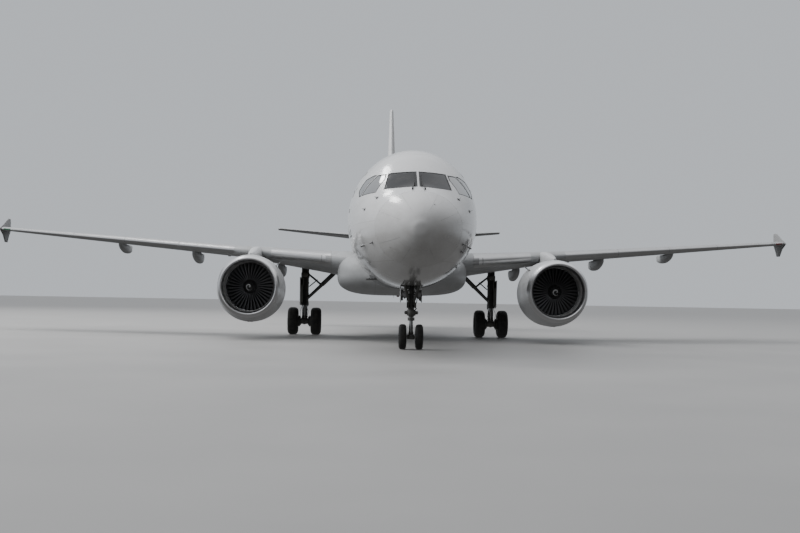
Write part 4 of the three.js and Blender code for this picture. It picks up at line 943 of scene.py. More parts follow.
def makeWings():
    places = [1.5, 2.2, 2.9] + spread(3.4, 6.3, 8) + spread(6.9, 16.9, 20)
    body = skinSolid("wing", wingSkin, places)
    inner, outer, seam = wingParts["innerFlap"], wingParts["outerFlap"], wingParts["seam"]

    def wingTool(outline):
        return uprightPrism(outline, 1.5, 5.2)

    def innerOutline(gap=0.0):
        a, b, back = inner["from"] - gap, inner["to"] + gap, inner["back"] + 0.3
        return [(a, inner["front"]), (b, inner["front"]), (b, back), (a, back)]

    whole = twin(body, "whole wing")
    aileron = hingedPanel(body, wingTool, wingRows, wingParts["aileron"], wingSkin, 0.034, "aileron")
    innerFlap = cut(twin(whole, "inner flap"), wingTool(innerOutline()), "INTERSECT")
    outerFlap = cut(whole, wingTool(rearOutline(wingRows, outer)), "INTERSECT")
    cut(body, wingTool(innerOutline(seam)))
    cut(body, wingTool(rearOutline(wingRows, outer, seam)))
    end = places[-1]
    tip = layRings("tip", [[wingSkin(end, u) for u in foilSteps]] + [
        [wingSkin(end, u).lerp(wingSkin(end, copysign(0.6, u)), k * 0.1) + Vector((0.05 * k, 0, 0))
         for u in foilSteps] for k in (1, 2)])
    slats = [skinPatch("slat", wingSkin, a, b, 0.36, -0.2, 0.004, 0.02, 14, 26) for a,
             b in wingParts["slats"]]
    spoilers = [skinPatch("spoiler", wingSkin, a, b, 0.845, 0.765 if a > 6.3 else 0.79, 0.004, 0.02, 8, 5)
                for a, b in wingParts["spoilers"]]
    for obj, name, node, onBody in (
            ([body, tip], "wing_{}_shell", "wing_{}", "airframe"),
            (innerFlap, "inner_flap_{}", "flap_inner_{}", "airframe"),
            (outerFlap, "outer_flap_{}", "flap_outer_{}", "airframe"),
            (aileron, "aileron_{}_panel", "aileron_{}", "aileron_{}"),
            (spoilers, "spoilers_{}", None, "airframe")):
        pair(obj, name, greyPaint, "grey_paint", node, onBody)
    pair(slats, "slats_{}", slatMetal, "inlet_metal")
    print("wings made")


fenceRows = (  # up from the tip, first station, chord
    (-0.53, 21.25, 0.4), (-0.42, 21.13, 0.6), (-0.23, 20.93, 0.94), (0.0, 20.44, 1.64), (0.23, 21.03, 1.03),
    (0.4, 21.4, 0.66), (0.51, 21.65, 0.38))


def makeFences():
    half, tipHeight, edge = 0.028, wingRows[-1][3], 17.05
    rings = []
    for up, start, chord in fenceRows:
        points = [foilPoint(u, 2 * half / chord * 0.98, 0.0, chord) for u in foilSteps]
        rings.append([Vector((edge - half + min(max(p.y, -half), half), stationY(start + p.x),
                              tipHeight + up))
                      for p in points])
    fence = layRings("fence", rings)
    modify(fence, "BEVEL", width=0.012, segments=2, limit_method="ANGLE", angle_limit=radians(60))
    pair(fence, "wing_fence_{}_panel", shadedFencePaint, "white_paint", "wing_fence_{}")
    print("wing fences made")


trackPods = (  # across, first station, length, half width, depth below the wing
    (4.75, 16.5, 3.05, 0.17, 0.42), (8.25, 16.95, 3.15, 0.165, 0.4), (11.55, 18.65, 2.75, 0.145, 0.35))
podShape = (  # share of the length, share of the width, share of the depth
    (0.0, 0.05, 0.0), (0.06, 0.42, 0.2), (0.18, 0.75, 0.6), (0.34, 0.94, 0.88), (0.5, 1.0, 1.0),
    (0.66, 0.9, 0.99), (0.8, 0.68, 0.92), (0.92, 0.38, 0.78), (1.0, 0.06, 0.64))


def makeTrackPods():
    pods = []
    for x, start, long, half, depth in trackPods:
        across, edge, chord, height, thick, degrees = rowAt(wingRows, x)
        top = height - sin(radians(degrees)) * chord * 0.75
        skin = foilHalf(0.7, thick) * chord
        rings = []
        for share in spread(0, 1, 26):
            here, wide, deep = curvedRow(podShape, share)
            bottom, roof = top - skin - depth * deep - 0.02, top - 0.01
            middle, reach = (roof + bottom) / 2, (roof - bottom) / 2
            rings.append([Vector((x + half * wide * cos(a), stationY(start + share * long),
                                  middle + reach * sin(a))) for a in turns(28, 0.5)])
        front, back = edge + 0.7 * chord, start + long + 0.1
        rise = tan(radians(degrees))
        low = height - rise * 0.7 * chord - skin - 0.014
        room = [(x - 0.4, stationY(s), z) for s,
                z in ((front, low), (back, low - rise * (back - front) * 0.25),
                                                       (back, low + 0.9), (front, low + 0.9))]
        pods.append(cut(layRings("track pod", rings), prism("flap room", room, (0.8, 0, 0))))
    pair(pods, "flap_track_pods_{}", greyPaint, "grey_paint")
    print("flap track pods made")


def makeTail():
    fin = skinSolid("fin", finSkin, [5.35, 5.9, 6.5] + spread(7.0, 12.0, 12))
    rudder = hingedPanel(fin, crossPrism, finRows, tailParts["rudder"], finSkin, 0.026, "rudder")
    dorsal = layRings("dorsal", [[finSkin(z, u, 0, dorsalRows, 0.08) for u in foilSteps]
                                 for z in spread(5.3, 6.7, 8)])
    finished([fin, dorsal], "fin_shell", tailPaint, "white_paint", "fin")
    finished(rudder, "rudder_panel", tailPaint, "white_paint", "rudder", "rudder")
    edge = skinPatch("edge", finSkin, 6.75, 11.9, 0.1, -0.1, 0.003, 0.012, 16, 13)
    finished(edge, "fin_edge_strip", slatMetal, "inlet_metal")

    stab = skinSolid("stabiliser", stabSkin, spread(0.5, 6.225, 12))
    elevator = hingedPanel(stab, lambda outline: uprightPrism(outline, 4.0, 6.5), stabRows,
                           tailParts["elevator"], stabSkin, 0.018, "elevator")
    pair(stab, "stabiliser_{}_shell", greyPaint, "grey_paint", "stabiliser_{}")
    pair(elevator, "elevator_{}_panel", greyPaint, "grey_paint", "elevator_{}", "elevator_{}")
    edge = skinPatch("edge", stabSkin, 1.5, 6.1, 0.12, -0.12, 0.003, 0.012, 12, 13)
    pair(edge, "stabiliser_edge_strip_{}", edgeMetal, "inlet_metal")
    print("tail made")


makeWings()
makeFences()
makeTrackPods()
makeTail()

# Engines: modelled on the left side, and copied across to the right

engine = {"x": 5.52, "z": 1.86, "inlet": 11.45}
cowlRows = (  # aft of the inlet, radius, how far its middle lies below the fan's
    (0.26, 1.11, 0.0), (0.65, 1.176, 0.032), (1.2, 1.215, 0.06), (1.9, 1.215, 0.062), (2.6, 1.15, 0.045),
    (3.3, 1.0, 0.015))
ductRows = (  # aft of the inlet, radius of the duct
    (0.26, 0.89), (0.5, 0.872), (0.7, 0.87), (1.1, 0.88), (1.5, 0.9), (2.2, 0.985), (2.9, 1.01), (3.3, 0.98))
lipProfile = (
    (0.26, 0.89), (0.2, 0.896), (0.14, 0.906), (0.09, 0.92), (0.05, 0.937), (0.02, 0.957), (0.004, 0.975),
    (0.0, 0.988), (0.006, 1.004), (0.022, 1.021), (0.05, 1.039), (0.09, 1.058), (0.14, 1.077), (0.2, 1.095),
    (0.26, 1.11), (0.26, 1.06), (0.26, 0.95))
cowlDoor = {"from": 0.76, "to": 1.98, "depth": 0.07, "gap": 0.006, "top": 12, "middle": 0.06,
            "hinge": 1.188, "bead": 0.028, "bore": 0.004}


def aftY(aft):
    return stationY(engine["inlet"] + aft)


def cowlSkin(aft, degrees, grow=0.0):
    # 0 degrees is the top, 90 the outboard side
    here, radius, drop = curvedRow(cowlRows, aft)
    angle = radians(degrees)
    return Vector((engine["x"] + (radius + grow) * sin(angle), aftY(aft),
                   engine["z"] - drop + (radius + grow) * cos(angle)))


def ductPoint(aft, degrees, grow=0.0):
    radius = rowAt(ductRows, aft)[1] + grow
    angle = radians(degrees)
    return Vector((engine["x"] + radius * sin(angle), aftY(aft), engine["z"] + radius * cos(angle)))


def engineSpun(name, profile, steps=96):
    return spun(name, [(aftY(aft), r) for aft, r in profile], (engine["x"], 0, engine["z"]), "y", steps)


def toRightEngine(obj):
    obj.location.x = -2 * engine["x"]
    return bake(obj)


def enginePair(obj, name, material, slot, node=None, body="airframe"):
    # the left engine's piece, and a copy moved over to the right engine
    if isinstance(obj, list):
        obj = joined(name, obj)
    return both(obj, toRightEngine(twin(obj, "other")), name, material, slot, node, body)


def engineRing(angle, points):
    # a ring of (out from the axis, around it, y) points, turned about the engine's axis
    c, s = cos(angle), sin(angle)
    return [Vector((engine["x"] + out * s + around * c, y, engine["z"] + out * c - around * s))
            for out, around, y in points]


def doorBead(turn, radius, past=0.0):
    # the hinge bead of a fan cowl door, turn 1 on the side toward +X
    angle = radians(cowlDoor["top"])
    x = engine["x"] + turn * cowlDoor["hinge"] * sin(angle)
    z = engine["z"] - cowlDoor["middle"] + cowlDoor["hinge"] * cos(angle)
    return rod((x, aftY(cowlDoor["from"] - past), z), (x, aftY(cowlDoor["to"] + past), z), radius, sides=16)


def makeCowls():
    lip = engineSpun("lip", lipProfile, 128)
    enginePair(lip, "inlet_lip_{}_ring", lipMetal, "inlet_metal", "inlet_lip_{}")

    # one shell from the lip to the fan nozzle, with a step where the doors lie
    gap, depth = cowlDoor["gap"], cowlDoor["depth"]
    front, back = cowlDoor["from"] - gap, cowlDoor["to"] + gap
    first, last = 0.2605, 3.3
    outer = ([(a, 0.0) for a in spread(first, front, 7)] + [(a, -depth - gap) for a in spread(front, back, 8)]
             + [(a, 0.0) for a in spread(back, last, 12)])
    rings = []
    for k in range(129):
        degrees = 360 * (k % 128) / 128
        rings.append([cowlSkin(a, degrees, g) for a, g in outer]
                     + [ductPoint(a, degrees) for a in spread(last, first, 30)])
    cowl = tidyMesh(layRings("cowl", rings, ends=False), gap=0.0002)
    top = cowlDoor["top"] - 0.3
    strip = layRings("strip", [[cowlSkin(a, d) for d in spread(-top, top, 9)]
                               + [cowlSkin(a, d, -depth - 0.02) for d in spread(top, -top, 9)]
                               for a in spread(front - 0.02, back + 0.02, 10)])
    for turn in (1, -1):
        cut(strip, doorBead(turn, cowlDoor["bead"] + cowlDoor["bore"], gap))
    enginePair([cowl, strip], "fan_cowl_{}_shell", cowlPaint, "white_paint", "fan_cowl_{}")

    for way, place in ((1, "outer"), (-1, "inner")):
        for side, sign in sides:
            # a door's outer side lies away from the aircraft's middle on either engine
            turn = way * sign
            angles = spread(cowlDoor["top"], 179.8, 60)
            door = layRings("door", [[cowlSkin(a, turn * d) for d in angles]
                                     + [cowlSkin(a, turn * d, -depth) for d in reversed(angles)]
                                     for a in spread(cowlDoor["from"], cowlDoor["to"], 12)])
            door = joined("door", [door, doorBead(turn, cowlDoor["bead"])])
            # latches along the bottom edge
            latches = []
            for a in spread(cowlDoor["from"] + 0.15, cowlDoor["to"] - 0.15, 4):
                low = cowlSkin(a, turn * 177.5, 0.001)
                latches.append(slab(low - Vector((0.035, 0.07, 0.004)), low + Vector((0.035, 0.07, 0.006)),
                                    0.003))
            latches = joined("latches", latches)
            if sign < 0:
                toRightEngine(door)
                toRightEngine(latches)
            body = f"fan_cowl_door_{side}_{place}"
            finished(door, f"{body}_panel", cowlPaint, "white_paint", body, body)
            finished(latches, f"cowl_latches_{side}_{place}", steelMetal, "hot_alloy", body=body)
    print("cowls made")


fanSizes = {"plane": 0.95, "blades": 36}
bladeRows = (  # radius, chord, turn from the axis in degrees, thickness
    (0.235, 0.19, 24, 0.034), (0.36, 0.2, 31, 0.028), (0.5, 0.21, 39, 0.023), (0.65, 0.222, 48, 0.018),
    (0.78, 0.232, 54, 0.014), (0.862, 0.236, 58, 0.012))
spinnerProfile = (
    (0.47, 0.0), (0.474, 0.018), (0.486, 0.038), (0.51, 0.058), (0.56, 0.094), (0.62, 0.136), (0.7, 0.186),
    (0.77, 0.225), (0.83, 0.251), (0.86, 0.256), (1.075, 0.256), (1.075, 0.0))


def fanBlade(angle):
    rings = []
    for radius, chord, degrees, thick in bladeRows:
        lean = radians(degrees)
        points = []
        for t in turns(14):
            along = 0.5 * cos(t) * chord
            off = 0.5 * sin(t) * thick * (1 - 0.25 * cos(t)) + 0.018 * (1 - cos(t) ** 2)
            around = along * sin(lean) + off * cos(lean)
            points.append((sqrt(radius * radius - around * around), around,
                           aftY(fanSizes["plane"]) + along * cos(lean) - off * sin(lean)))
        rings.append(engineRing(angle, points))
    return layRings("blade", rings)


def spinnerFinish(name, x):
    # dark cone with one white spiral, wound about the fan's axis
    material, tree, shader, place = startFinish(name, Coat_Weight=0.4, Coat_Roughness=0.1)
    centred = addNode(tree, "Mapping", {"Vector": place, "Location": (-x, 0, -engine["z"])}).outputs[0]
    axes = addNode(tree, "SeparateXYZ", {0: centred}).outputs
    angle = reckon(tree, "ARCTAN2", axes[0], axes[2])
    radius = reckon(tree, "SQRT", reckon(tree, "ADD", times(tree, axes[0], axes[0]),
                                         times(tree, axes[2], axes[2])))
    # how far round the spiral has come at a radius, against where the point is
    wind = reckon(tree, "FRACT", reckon(tree, "ADD", reckon(tree, "DIVIDE", angle, 2 * pi),
                                        reckon(tree, "MULTIPLY_ADD", radius, 7.5, 5.0)))
    inside = times(tree, ramp(tree, radius, 0.016, 0.02), ramp(tree, radius, 0.14, 0.134))
    width = ramp(tree, radius, 0.02, 0.14, 0.2, 0.1)
    edge = reckon(tree, "SUBTRACT", width, reckon(tree, "ABSOLUTE", reckon(tree, "SUBTRACT", wind, 0.5)))
    mark = times(tree, ramp(tree, edge, 0.0, 0.015), inside)
    scuff = noise(tree, place, 22.0, 6)
    dark = blendColour(tree, ramp(tree, scuff, 0.4, 0.75, 0.0, 0.6), grey(0.03), grey(0.08))
    white = blendColour(tree, ramp(tree, scuff, 0.5, 0.8, 0.0, 0.5), grey(0.72), grey(0.4))
    feed(tree, shader, blendColour(tree, mark, dark, white), ramp(tree, scuff, 0.3, 0.7, 0.22, 0.4))
    return material


def makeFans():
    blades = [fanBlade(angle) for angle in turns(fanSizes["blades"])]
    enginePair(blades, "fan_blades_{}", bladeMetal, "blade_metal", "fan_{}", "fan_{}")
    spinner = engineSpun("spinner", spinnerProfile, 72)
    left, right = enginePair(spinner, "spinner_{}", None, "blade_metal", body="fan_{}")
    left.data.materials.append(spinnerFinish("left spinner", engine["x"]))
    right.data.materials.append(spinnerFinish("right spinner", -engine["x"]))
    inner = [(a, rowAt(ductRows, a)[1] - 0.0035) for a in spread(0.2615, 0.79, 8)]
    outer = [(a, r + 0.0065) for a, r in reversed(inner)]
    enginePair(engineSpun("liner", inner + outer), "inlet_liner_{}", linerPaint, "grey_paint")
    band = engineSpun("band", [(0.792, 0.876), (0.792, 0.8685), (0.835, 0.8695), (0.835, 0.877)])
    enginePair(band, "fan_case_band_{}", steelMetal, "hot_alloy")
    print("fans made")


coreProfile = (
    (1.085, 0.0), (1.085, 0.3), (1.2, 0.352), (1.5, 0.44), (1.85, 0.556), (2.2, 0.64), (2.55, 0.69),
    (2.9, 0.7), (3.15, 0.692), (3.4, 0.66), (3.8, 0.563), (4.25, 0.44), (4.25, 0.415), (4.15, 0.405),
    (4.05, 0.4), (4.05, 0.3), (4.2, 0.29), (4.4, 0.25), (4.65, 0.155), (4.85, 0.065), (4.92, 0.02),
    (4.92, 0.0))
pylonRows = (  # station, half width, bottom, top
    (12.35, 0.04, 2.9, 3.08), (12.9, 0.15, 2.7, 3.17), (13.9, 0.2, 2.45, 3.33), (15.2, 0.21, 2.35, 3.42),
    (16.3, 0.19, 2.33, 3.3), (17.3, 0.12, 2.45, 3.12), (18.1, 0.03, 2.64, 2.9))
engineVanes = {"count": 40, "at": 1.68, "chord": 0.2, "thick": 0.016, "radii": (0.44, 0.7, 0.93)}


def makeCores():
    core = engineSpun("core", coreProfile, 80)
    enginePair(core, "core_{}_shell", hotMetal, "hot_alloy", "engine_core_{}")
    size = engineVanes
    vane = []
    for t in turns(8):
        axial = 0.5 * cos(t) * size["chord"]
        vane.append((0.5 * sin(t) * size["thick"] - 0.12 * axial, aftY(size["at"]) + axial))
    vanes = [layRings("vane",
                      [engineRing(angle, [(radius, *point) for point in vane]) for radius in size["radii"]])
             for angle in turns(size["count"], 0.5)]
    enginePair(vanes, "outlet_vanes_{}", rimMetal, "hot_alloy")
    rings = []
    for station in spread(pylonRows[0][0], pylonRows[-1][0], 40):
        here, half, bottom, top = curvedRow(pylonRows, station)
        middle = Vector((engine["x"], (top + bottom) / 2))
        rings.append(squircle(middle, half, (top - bottom) / 2, stationY(station), 0.6, 36))
    enginePair(layRings("pylon", rings), "pylon_{}_shell", cowlPaint, "white_paint", "pylon_{}")
    # a strake on the inboard side of each nacelle
    for side, sign in sides:
        corners = [cowlSkin(*corner) for corner in (
            (0.8, -48, -0.02), (1.75, -46, -0.02), (1.7, -46, 0.24), (1.35, -46.5, 0.22))]
        strake = modify(prism("strake", corners, (0.012, 0, -0.008)), "BEVEL", width=0.004, segments=2)
        finished(strake if sign > 0 else flipped(strake), f"nacelle_strake_{side}", smallPaint, "white_paint",
                 body=f"fan_cowl_door_{side}_inner")
    print("cores and pylons made")


def linerFinish():
    # pale acoustic skin of an inlet, with rows of small holes
    material, tree, shader, place = startFinish("inlet liner", Coat_Weight=0.2, Coat_Roughness=0.25)
    cells = addNode(tree, "TexVoronoi", {"Vector": place, "Scale": 130.0}).outputs["Distance"]
    hole = ramp(tree, cells, 0.22, 0.3, 1.0, 0.0)
    streak = noise(tree, place, 4.0, 5, (1, 0.2, 1))
    tone = blendColour(tree, ramp(tree, streak, 0.4, 0.7), grey(0.46), grey(0.34, (1, 0.97, 0.92)))
    tone = blendColour(tree, times(tree, hole, 0.35), tone, grey(0.1))
    feed(tree, shader, tone, ramp(tree, streak, 0.3, 0.7, 0.34, 0.5), hole, -0.2, 0.001)
    return material


linerPaint = linerFinish()
cowlPaint = paintFinish(
    "engine cowl paint", grey(0.6, (0.99, 1, 1.01)), grey(0.36, (1, 0.96, 0.9)), 0.38, soil=0.35, coat=0.25,
    haze=0.22)
makeCowls()
makeFans()
makeCores()

# Landing gear

wheelSizes = {
    "main": {"tyre": 0.555, "width": 0.42, "rim": 0.262, "spacing": 0.927, "axle": 0.06, "sides": 24,
             "station": 17.71, "x": 3.795, "bolts": 9},
    "nose": {"tyre": 0.38, "width": 0.224, "rim": 0.195, "spacing": 0.5, "axle": 0.038, "sides": 20,
             "station": 5.07, "x": 0.0, "bolts": 8},
}


def axleHeight(size):
    return size["tyre"] * cos(pi / size["sides"])


def tyreRing(size, x):
    # round shoulders, a flat tread with four grooves, and a slightly flattened foot on the ground
    half, r, rim = size["width"] / 2, size["tyre"] * 0.9985, size["rim"]
    wall = r - rim
    groove = 0.012 * r / 0.55
    profile = [
        (-half * 0.62, rim + 0.004), (-half * 0.7, rim + wall * 0.04), (-half * 0.86, rim + wall * 0.16),
        (-half * 0.97, rim + wall * 0.34), (-half, rim + wall * 0.48), (-half * 0.98, rim + wall * 0.62),
        (-half * 0.9, rim + wall * 0.76), (-half * 0.77, rim + wall * 0.87), (-half * 0.6, rim + wall * 0.95)]
    for place in (-0.42, -0.15, 0.15, 0.42):
        crown = r - 0.1 * wall * place * place
        wide = 0.03 * half / 0.21
        profile += [(half * place - wide * half, crown), (half * place - wide * 0.7 * half, crown - groove),
                    (half * place + wide * 0.7 * half, crown - groove), (half * place + wide * half, crown)]
    profile += [(-a, b) for a, b in reversed(profile[:9])]
    profile += [(half * 0.3, rim + 0.002), (-half * 0.3, rim + 0.002)]
    y, z = stationY(size["station"]), axleHeight(size)
    ring = spun("tyre", [(a + x, b) for a, b in profile], (0, y, z), "x", 96)
    for vertex in ring.data.vertices:
        if vertex.co.z < 0.003:
            vertex.co.z = 0.003
    return ring


def wheelDisc(size, x, side):
    # a dished wheel: rim flanges, a web with bolts, a hub and its cap
    half, rim = size["width"] / 2 * 0.66, size["rim"]
    y, z = stationY(size["station"]), axleHeight(size)
    scale = rim / 0.262
    dish = [(-half, 0.06 * scale), (-half, rim - 0.03 * scale), (-half, rim), (-half + 0.02, rim),
            (-half + 0.035, rim - 0.012), (half - 0.035, rim - 0.012), (half - 0.02, rim), (half, rim),
            (half, rim - 0.012), (half - 0.02, rim - 0.02), (half * 0.62, rim - 0.034),
            (half * 0.3, rim * 0.74), (half * 0.22, rim * 0.62), (half * 0.34, rim * 0.48),
            (half * 0.62, rim * 0.4), (half * 0.7, rim * 0.3), (half * 0.72, 0.05 * scale)]
    cap = [(half * 0.6, 0.0), (half * 0.6, 0.075 * scale), (half * 0.95, 0.07 * scale),
           (half * 1.08, 0.055 * scale), (half * 1.12, 0.02 * scale), (half * 1.13, 0.0)]
    parts = [spun("wheel", [(side * a + x, b) for a, b in profile], (0, y, z), "x", steps)
             for profile, steps in ((dish, 72), (cap, 32))]
    for angle in turns(size["bolts"]):
        by, bz = y + rim * 0.704 * cos(angle), z + rim * 0.704 * sin(angle)
        parts.append(rod((x + side * half * 0.2, by, bz), (x + side * half * 0.56, by, bz), 0.011 * scale,
                         sides=6, soft=0.002))
    return joined("disc", parts)


def brakePack(size, x, side):
    # the heat stack on the inboard side of a wheel, with its pistons
    y, z = stationY(size["station"]), axleHeight(size)
    start = -size["width"] / 2 * 0.66
    profile = [(start - 0.15, 0.09), (start - 0.15, 0.2), (start - 0.13, 0.228), (start - 0.11, 0.228),
               (start - 0.1, 0.212), (start - 0.08, 0.212), (start - 0.07, 0.232), (start - 0.05, 0.232),
               (start - 0.035, 0.218), (start - 0.02, 0.232), (start + 0.05, 0.232), (start + 0.05, 0.09)]
    parts = [spun("brake", [(side * a + x, b) for a, b in profile], (0, y, z), "x", 48)]
    for angle in turns(7, 0.5):
        by, bz = y + 0.15 * cos(angle), z + 0.15 * sin(angle)
        parts.append(rod((x + side * (start - 0.15), by, bz), (x + side * (start - 0.18), by, bz), 0.026,
                         sides=16, soft=0.004))
    return parts


def makeWheels():
    for kind, places in (("main", ("outer", "inner")), ("nose", ("left", "right"))):
        size = wheelSizes[kind]
        y, z = stationY(size["station"]), axleHeight(size)
        make, each, body = finished, "", "nose_wheels"
        if kind == "main":
            make, each, body = pair, "_{}", "main_wheels_{}"
        reach = size["spacing"] / 2
        discs = [rod((size["x"] - reach, y, z), (size["x"] + reach, y, z), size["axle"], sides=32)]
        packs = []
        for way, place in zip((1, -1), places):
            x = size["x"] + way * reach
            name = f"{kind}_tyre{each}_{place}"
            make(tyreRing(size, x), name + "_ring", rubber, "tyre", name, body)
            discs.append(wheelDisc(size, x, way))
            if kind == "main":
                packs += brakePack(size, x, way)
        make(discs, f"{kind}_wheel_discs{each}", rimMetal, "wheel_metal", f"{kind}_wheels{each}", body)
        if packs:
            pair(packs, "main_brakes_{}", steelMetal, "hot_alloy")
    print("wheels made")


mainLeg = {
    "top": 2.9, "collar": 1.23, "radius": 0.15, "piston": 0.105, "knee": (0.43, 0.86),
    # from, to and radius of the rings round the leg
    "rings": ((1.19, 1.34, 0.163), (1.62, 1.68, 0.163), (2.06, 2.13, 0.166), (2.3, 2.52, 0.172)),
}
legDoor = {
    "out": 0.167, "thick": 0.032, "stiffeners": (1.42, 1.66, 1.9, 2.14), "links": (1.56, 2.08),
    "outline": ((17.26, 2.33), (18.08, 2.27), (18.0, 1.33), (17.76, 1.18), (17.38, 1.25)),
    # front, back, low, high and depth of the ribs inside
    "ribs": ((17.3, 17.42, 1.3, 2.25, 0.1), (17.3, 17.42, 2.0, 2.3, 0.13), (17.9, 17.96, 1.38, 2.2, 0.07),
             (17.44, 17.5, 1.25, 2.26, 0.03)),
}


def linkArm(x, y, start, end, half, thick):
    # a forked scissor arm between two [aft, height] places: two tapered cheeks and a web
    p, q = (Vector((x, y + aft, height)) for aft, height in (start, end))
    along = (q - p).normalized()
    out = Vector((0, -along.z, along.y))
    parts = []
    for way in (-1, 1):
        near, far = p + Vector((way * half, 0, 0)), q + Vector((way * half * 0.55, 0, 0))
        cheek = prism("cheek", [near + out * thick, far + out * thick, far - out * thick, near - out * thick],
                      (-way * 0.028, 0, 0))
        parts.append(modify(cheek, "BEVEL", width=0.006, segments=2))
    web = [place + Vector((across * half, 0, 0)) + along * inset for place, across, inset in (
        (p, -0.9, 0.1), (p, 0.9, 0.1), (q, 0.5, -0.08), (q, -0.5, -0.08))]
    parts.append(prism("web", web, out * 0.02))
    for place, wide in ((p, half * 1.25), (q, half * 0.8)):
        wide = Vector((wide, 0, 0))
        parts.append(rod(place - wide, place + wide, thick * 1.15, sides=20, soft=0.004))
    return parts


def makeMainGear():
    size = wheelSizes["main"]
    x, y, z = size["x"], stationY(size["station"]), axleHeight(size)

    def at(dx, dy, height):
        return Vector((x + dx, y + dy, height))

    collar, knee = mainLeg["collar"], mainLeg["knee"]
    body = bars(at, (
        ((0, 0, collar), (0, 0, mainLeg["top"]), mainLeg["radius"], 40, 0.008),
        *(((0, 0, low), (0, 0, high), r, 40, 0.012) for low, high, r in mainLeg["rings"]),
        ((0, 0, z + 0.1), (0, 0, z + 0.2), 0.118, 40, 0.012),
        ((-0.165, 0, z), (0.165, 0, z), 0.122, 40, 0.015),
        ((0, -0.52, 2.42), (0, 0.38, 2.42), 0.095, 28, 0.01),
        ((0, 0, z - 0.1395), (0, 0, z), 0.05, 24, 0.004)))
    body += linkArm(x, y, (0.15, 1.18), knee, 0.11, 0.03) + linkArm(x, y, (0.06, 0.6), knee, 0.11, 0.03)
    pair(body, "main_leg_{}_casting", shadedGearPaint, "gear_paint", "main_leg_{}")
    pair(rod(at(0, 0, z + 0.15), at(0, 0, collar + 0.02), mainLeg["piston"], sides=40), "main_piston_{}",
         shadedStrutMetal, "wheel_metal")

    # side stay in two folding arms, with its knee pin, lock link and actuator
    bend = at(-0.69, -0.06, 2.04)
    stay = [rod(at(-0.1, -0.06, 1.47), bend, 0.06, 0.074, 20, 0.006),
            rod(bend, at(-1.18, -0.06, 2.52), 0.09, 0.088, 20, 0.006)]
    stay += bars(at, (
        ((-0.13, -0.135, 1.5), (-0.69, -0.135, 2.04), 0.02, 12),
        ((-0.13, 0.015, 1.5), (-0.69, 0.015, 2.04), 0.02, 12),
        ((-0.69, -0.18, 2.04), (-0.69, 0.06, 2.04), 0.07, 24, 0.008),
        ((-0.1, -0.16, 1.47), (-0.1, 0.06, 1.47), 0.06, 24, 0.006),
        ((-0.69, -0.06, 2.0), (-0.38, -0.06, 2.26), 0.04, 16, 0.004),
        ((-0.38, -0.06, 2.26), (-0.1, -0.06, 2.48), 0.04, 16, 0.004),
        ((-0.38, -0.12, 2.26), (-0.38, 0.0, 2.26), 0.045, 16, 0.004),
        ((-0.16, 0.02, 1.95), (-0.5, 0.02, 2.24), 0.022, 12)))
    pair(stay, "side_stay_{}_arms", shadedGearPaint, "gear_paint", "side_stay_{}")

    # leg door: a panel with a stiffened inner face and its links
    px = x + legDoor["out"]
    panel = prism("leg door", [(px, stationY(s), h) for s, h in legDoor["outline"]], (legDoor["thick"], 0, 0))
    parts = [modify(panel, "BEVEL", width=0.012, segments=3)]
    for height in legDoor["stiffeners"]:
        parts.append(slab((px - 0.012, stationY(17.4), height - 0.02),
                          (px + 0.004, stationY(17.98), height + 0.02), 0.004))
    for height in legDoor["links"]:
        parts.append(rod(at(0.1, 0, height), (px + 0.008, y, height), 0.03, sides=16, soft=0.004))
        parts.append(rod(at(0.1, -0.2, height + 0.04), (px + 0.008, y - 0.2, height + 0.04), 0.018, sides=12))
    pair(parts, "leg_door_{}_panel", smallPaint, "white_paint", "leg_door_{}")
    # ribs inside the leg door, near black as painted shade
    lining = [slab((px - deep, stationY(front), low), (px - 0.001, stationY(back), high), 0.012)
              for front, back, low, high, deep in legDoor["ribs"]]
    pair(lining, "leg_door_{}_ribs", shadedDoorPaint, "gear_paint")

    # brake and hydraulic pipes down the front of the leg, and their clips
    pipes = []
    for dx, dy, r in ((-0.06, -0.165, 0.011), (-0.025, -0.175, 0.011), (0.02, -0.175, 0.014),
                      (0.07, -0.16, 0.009)):
        pipes.append(pipe([at(dx * wide, dy + ahead, height) for wide, ahead, height in (
            (1, 0, 2.6), (1, 0, 2.0), (1, -0.005, 1.45), (1.2, -0.03, 1.2), (2.4, -0.06, 0.95),
            (2.2, 0.03, 0.76), (3.0, 0.06, 0.66))], r))
    for height in (1.5, 1.8, 2.2, 2.5):
        pipes.append(slab(at(-0.09, -0.19, height - 0.015), at(0.1, -0.13, height + 0.015), 0.004))
    pair(pipes, "main_leg_pipes_{}", blackSeal, "gear_paint")
    print("main gear made")


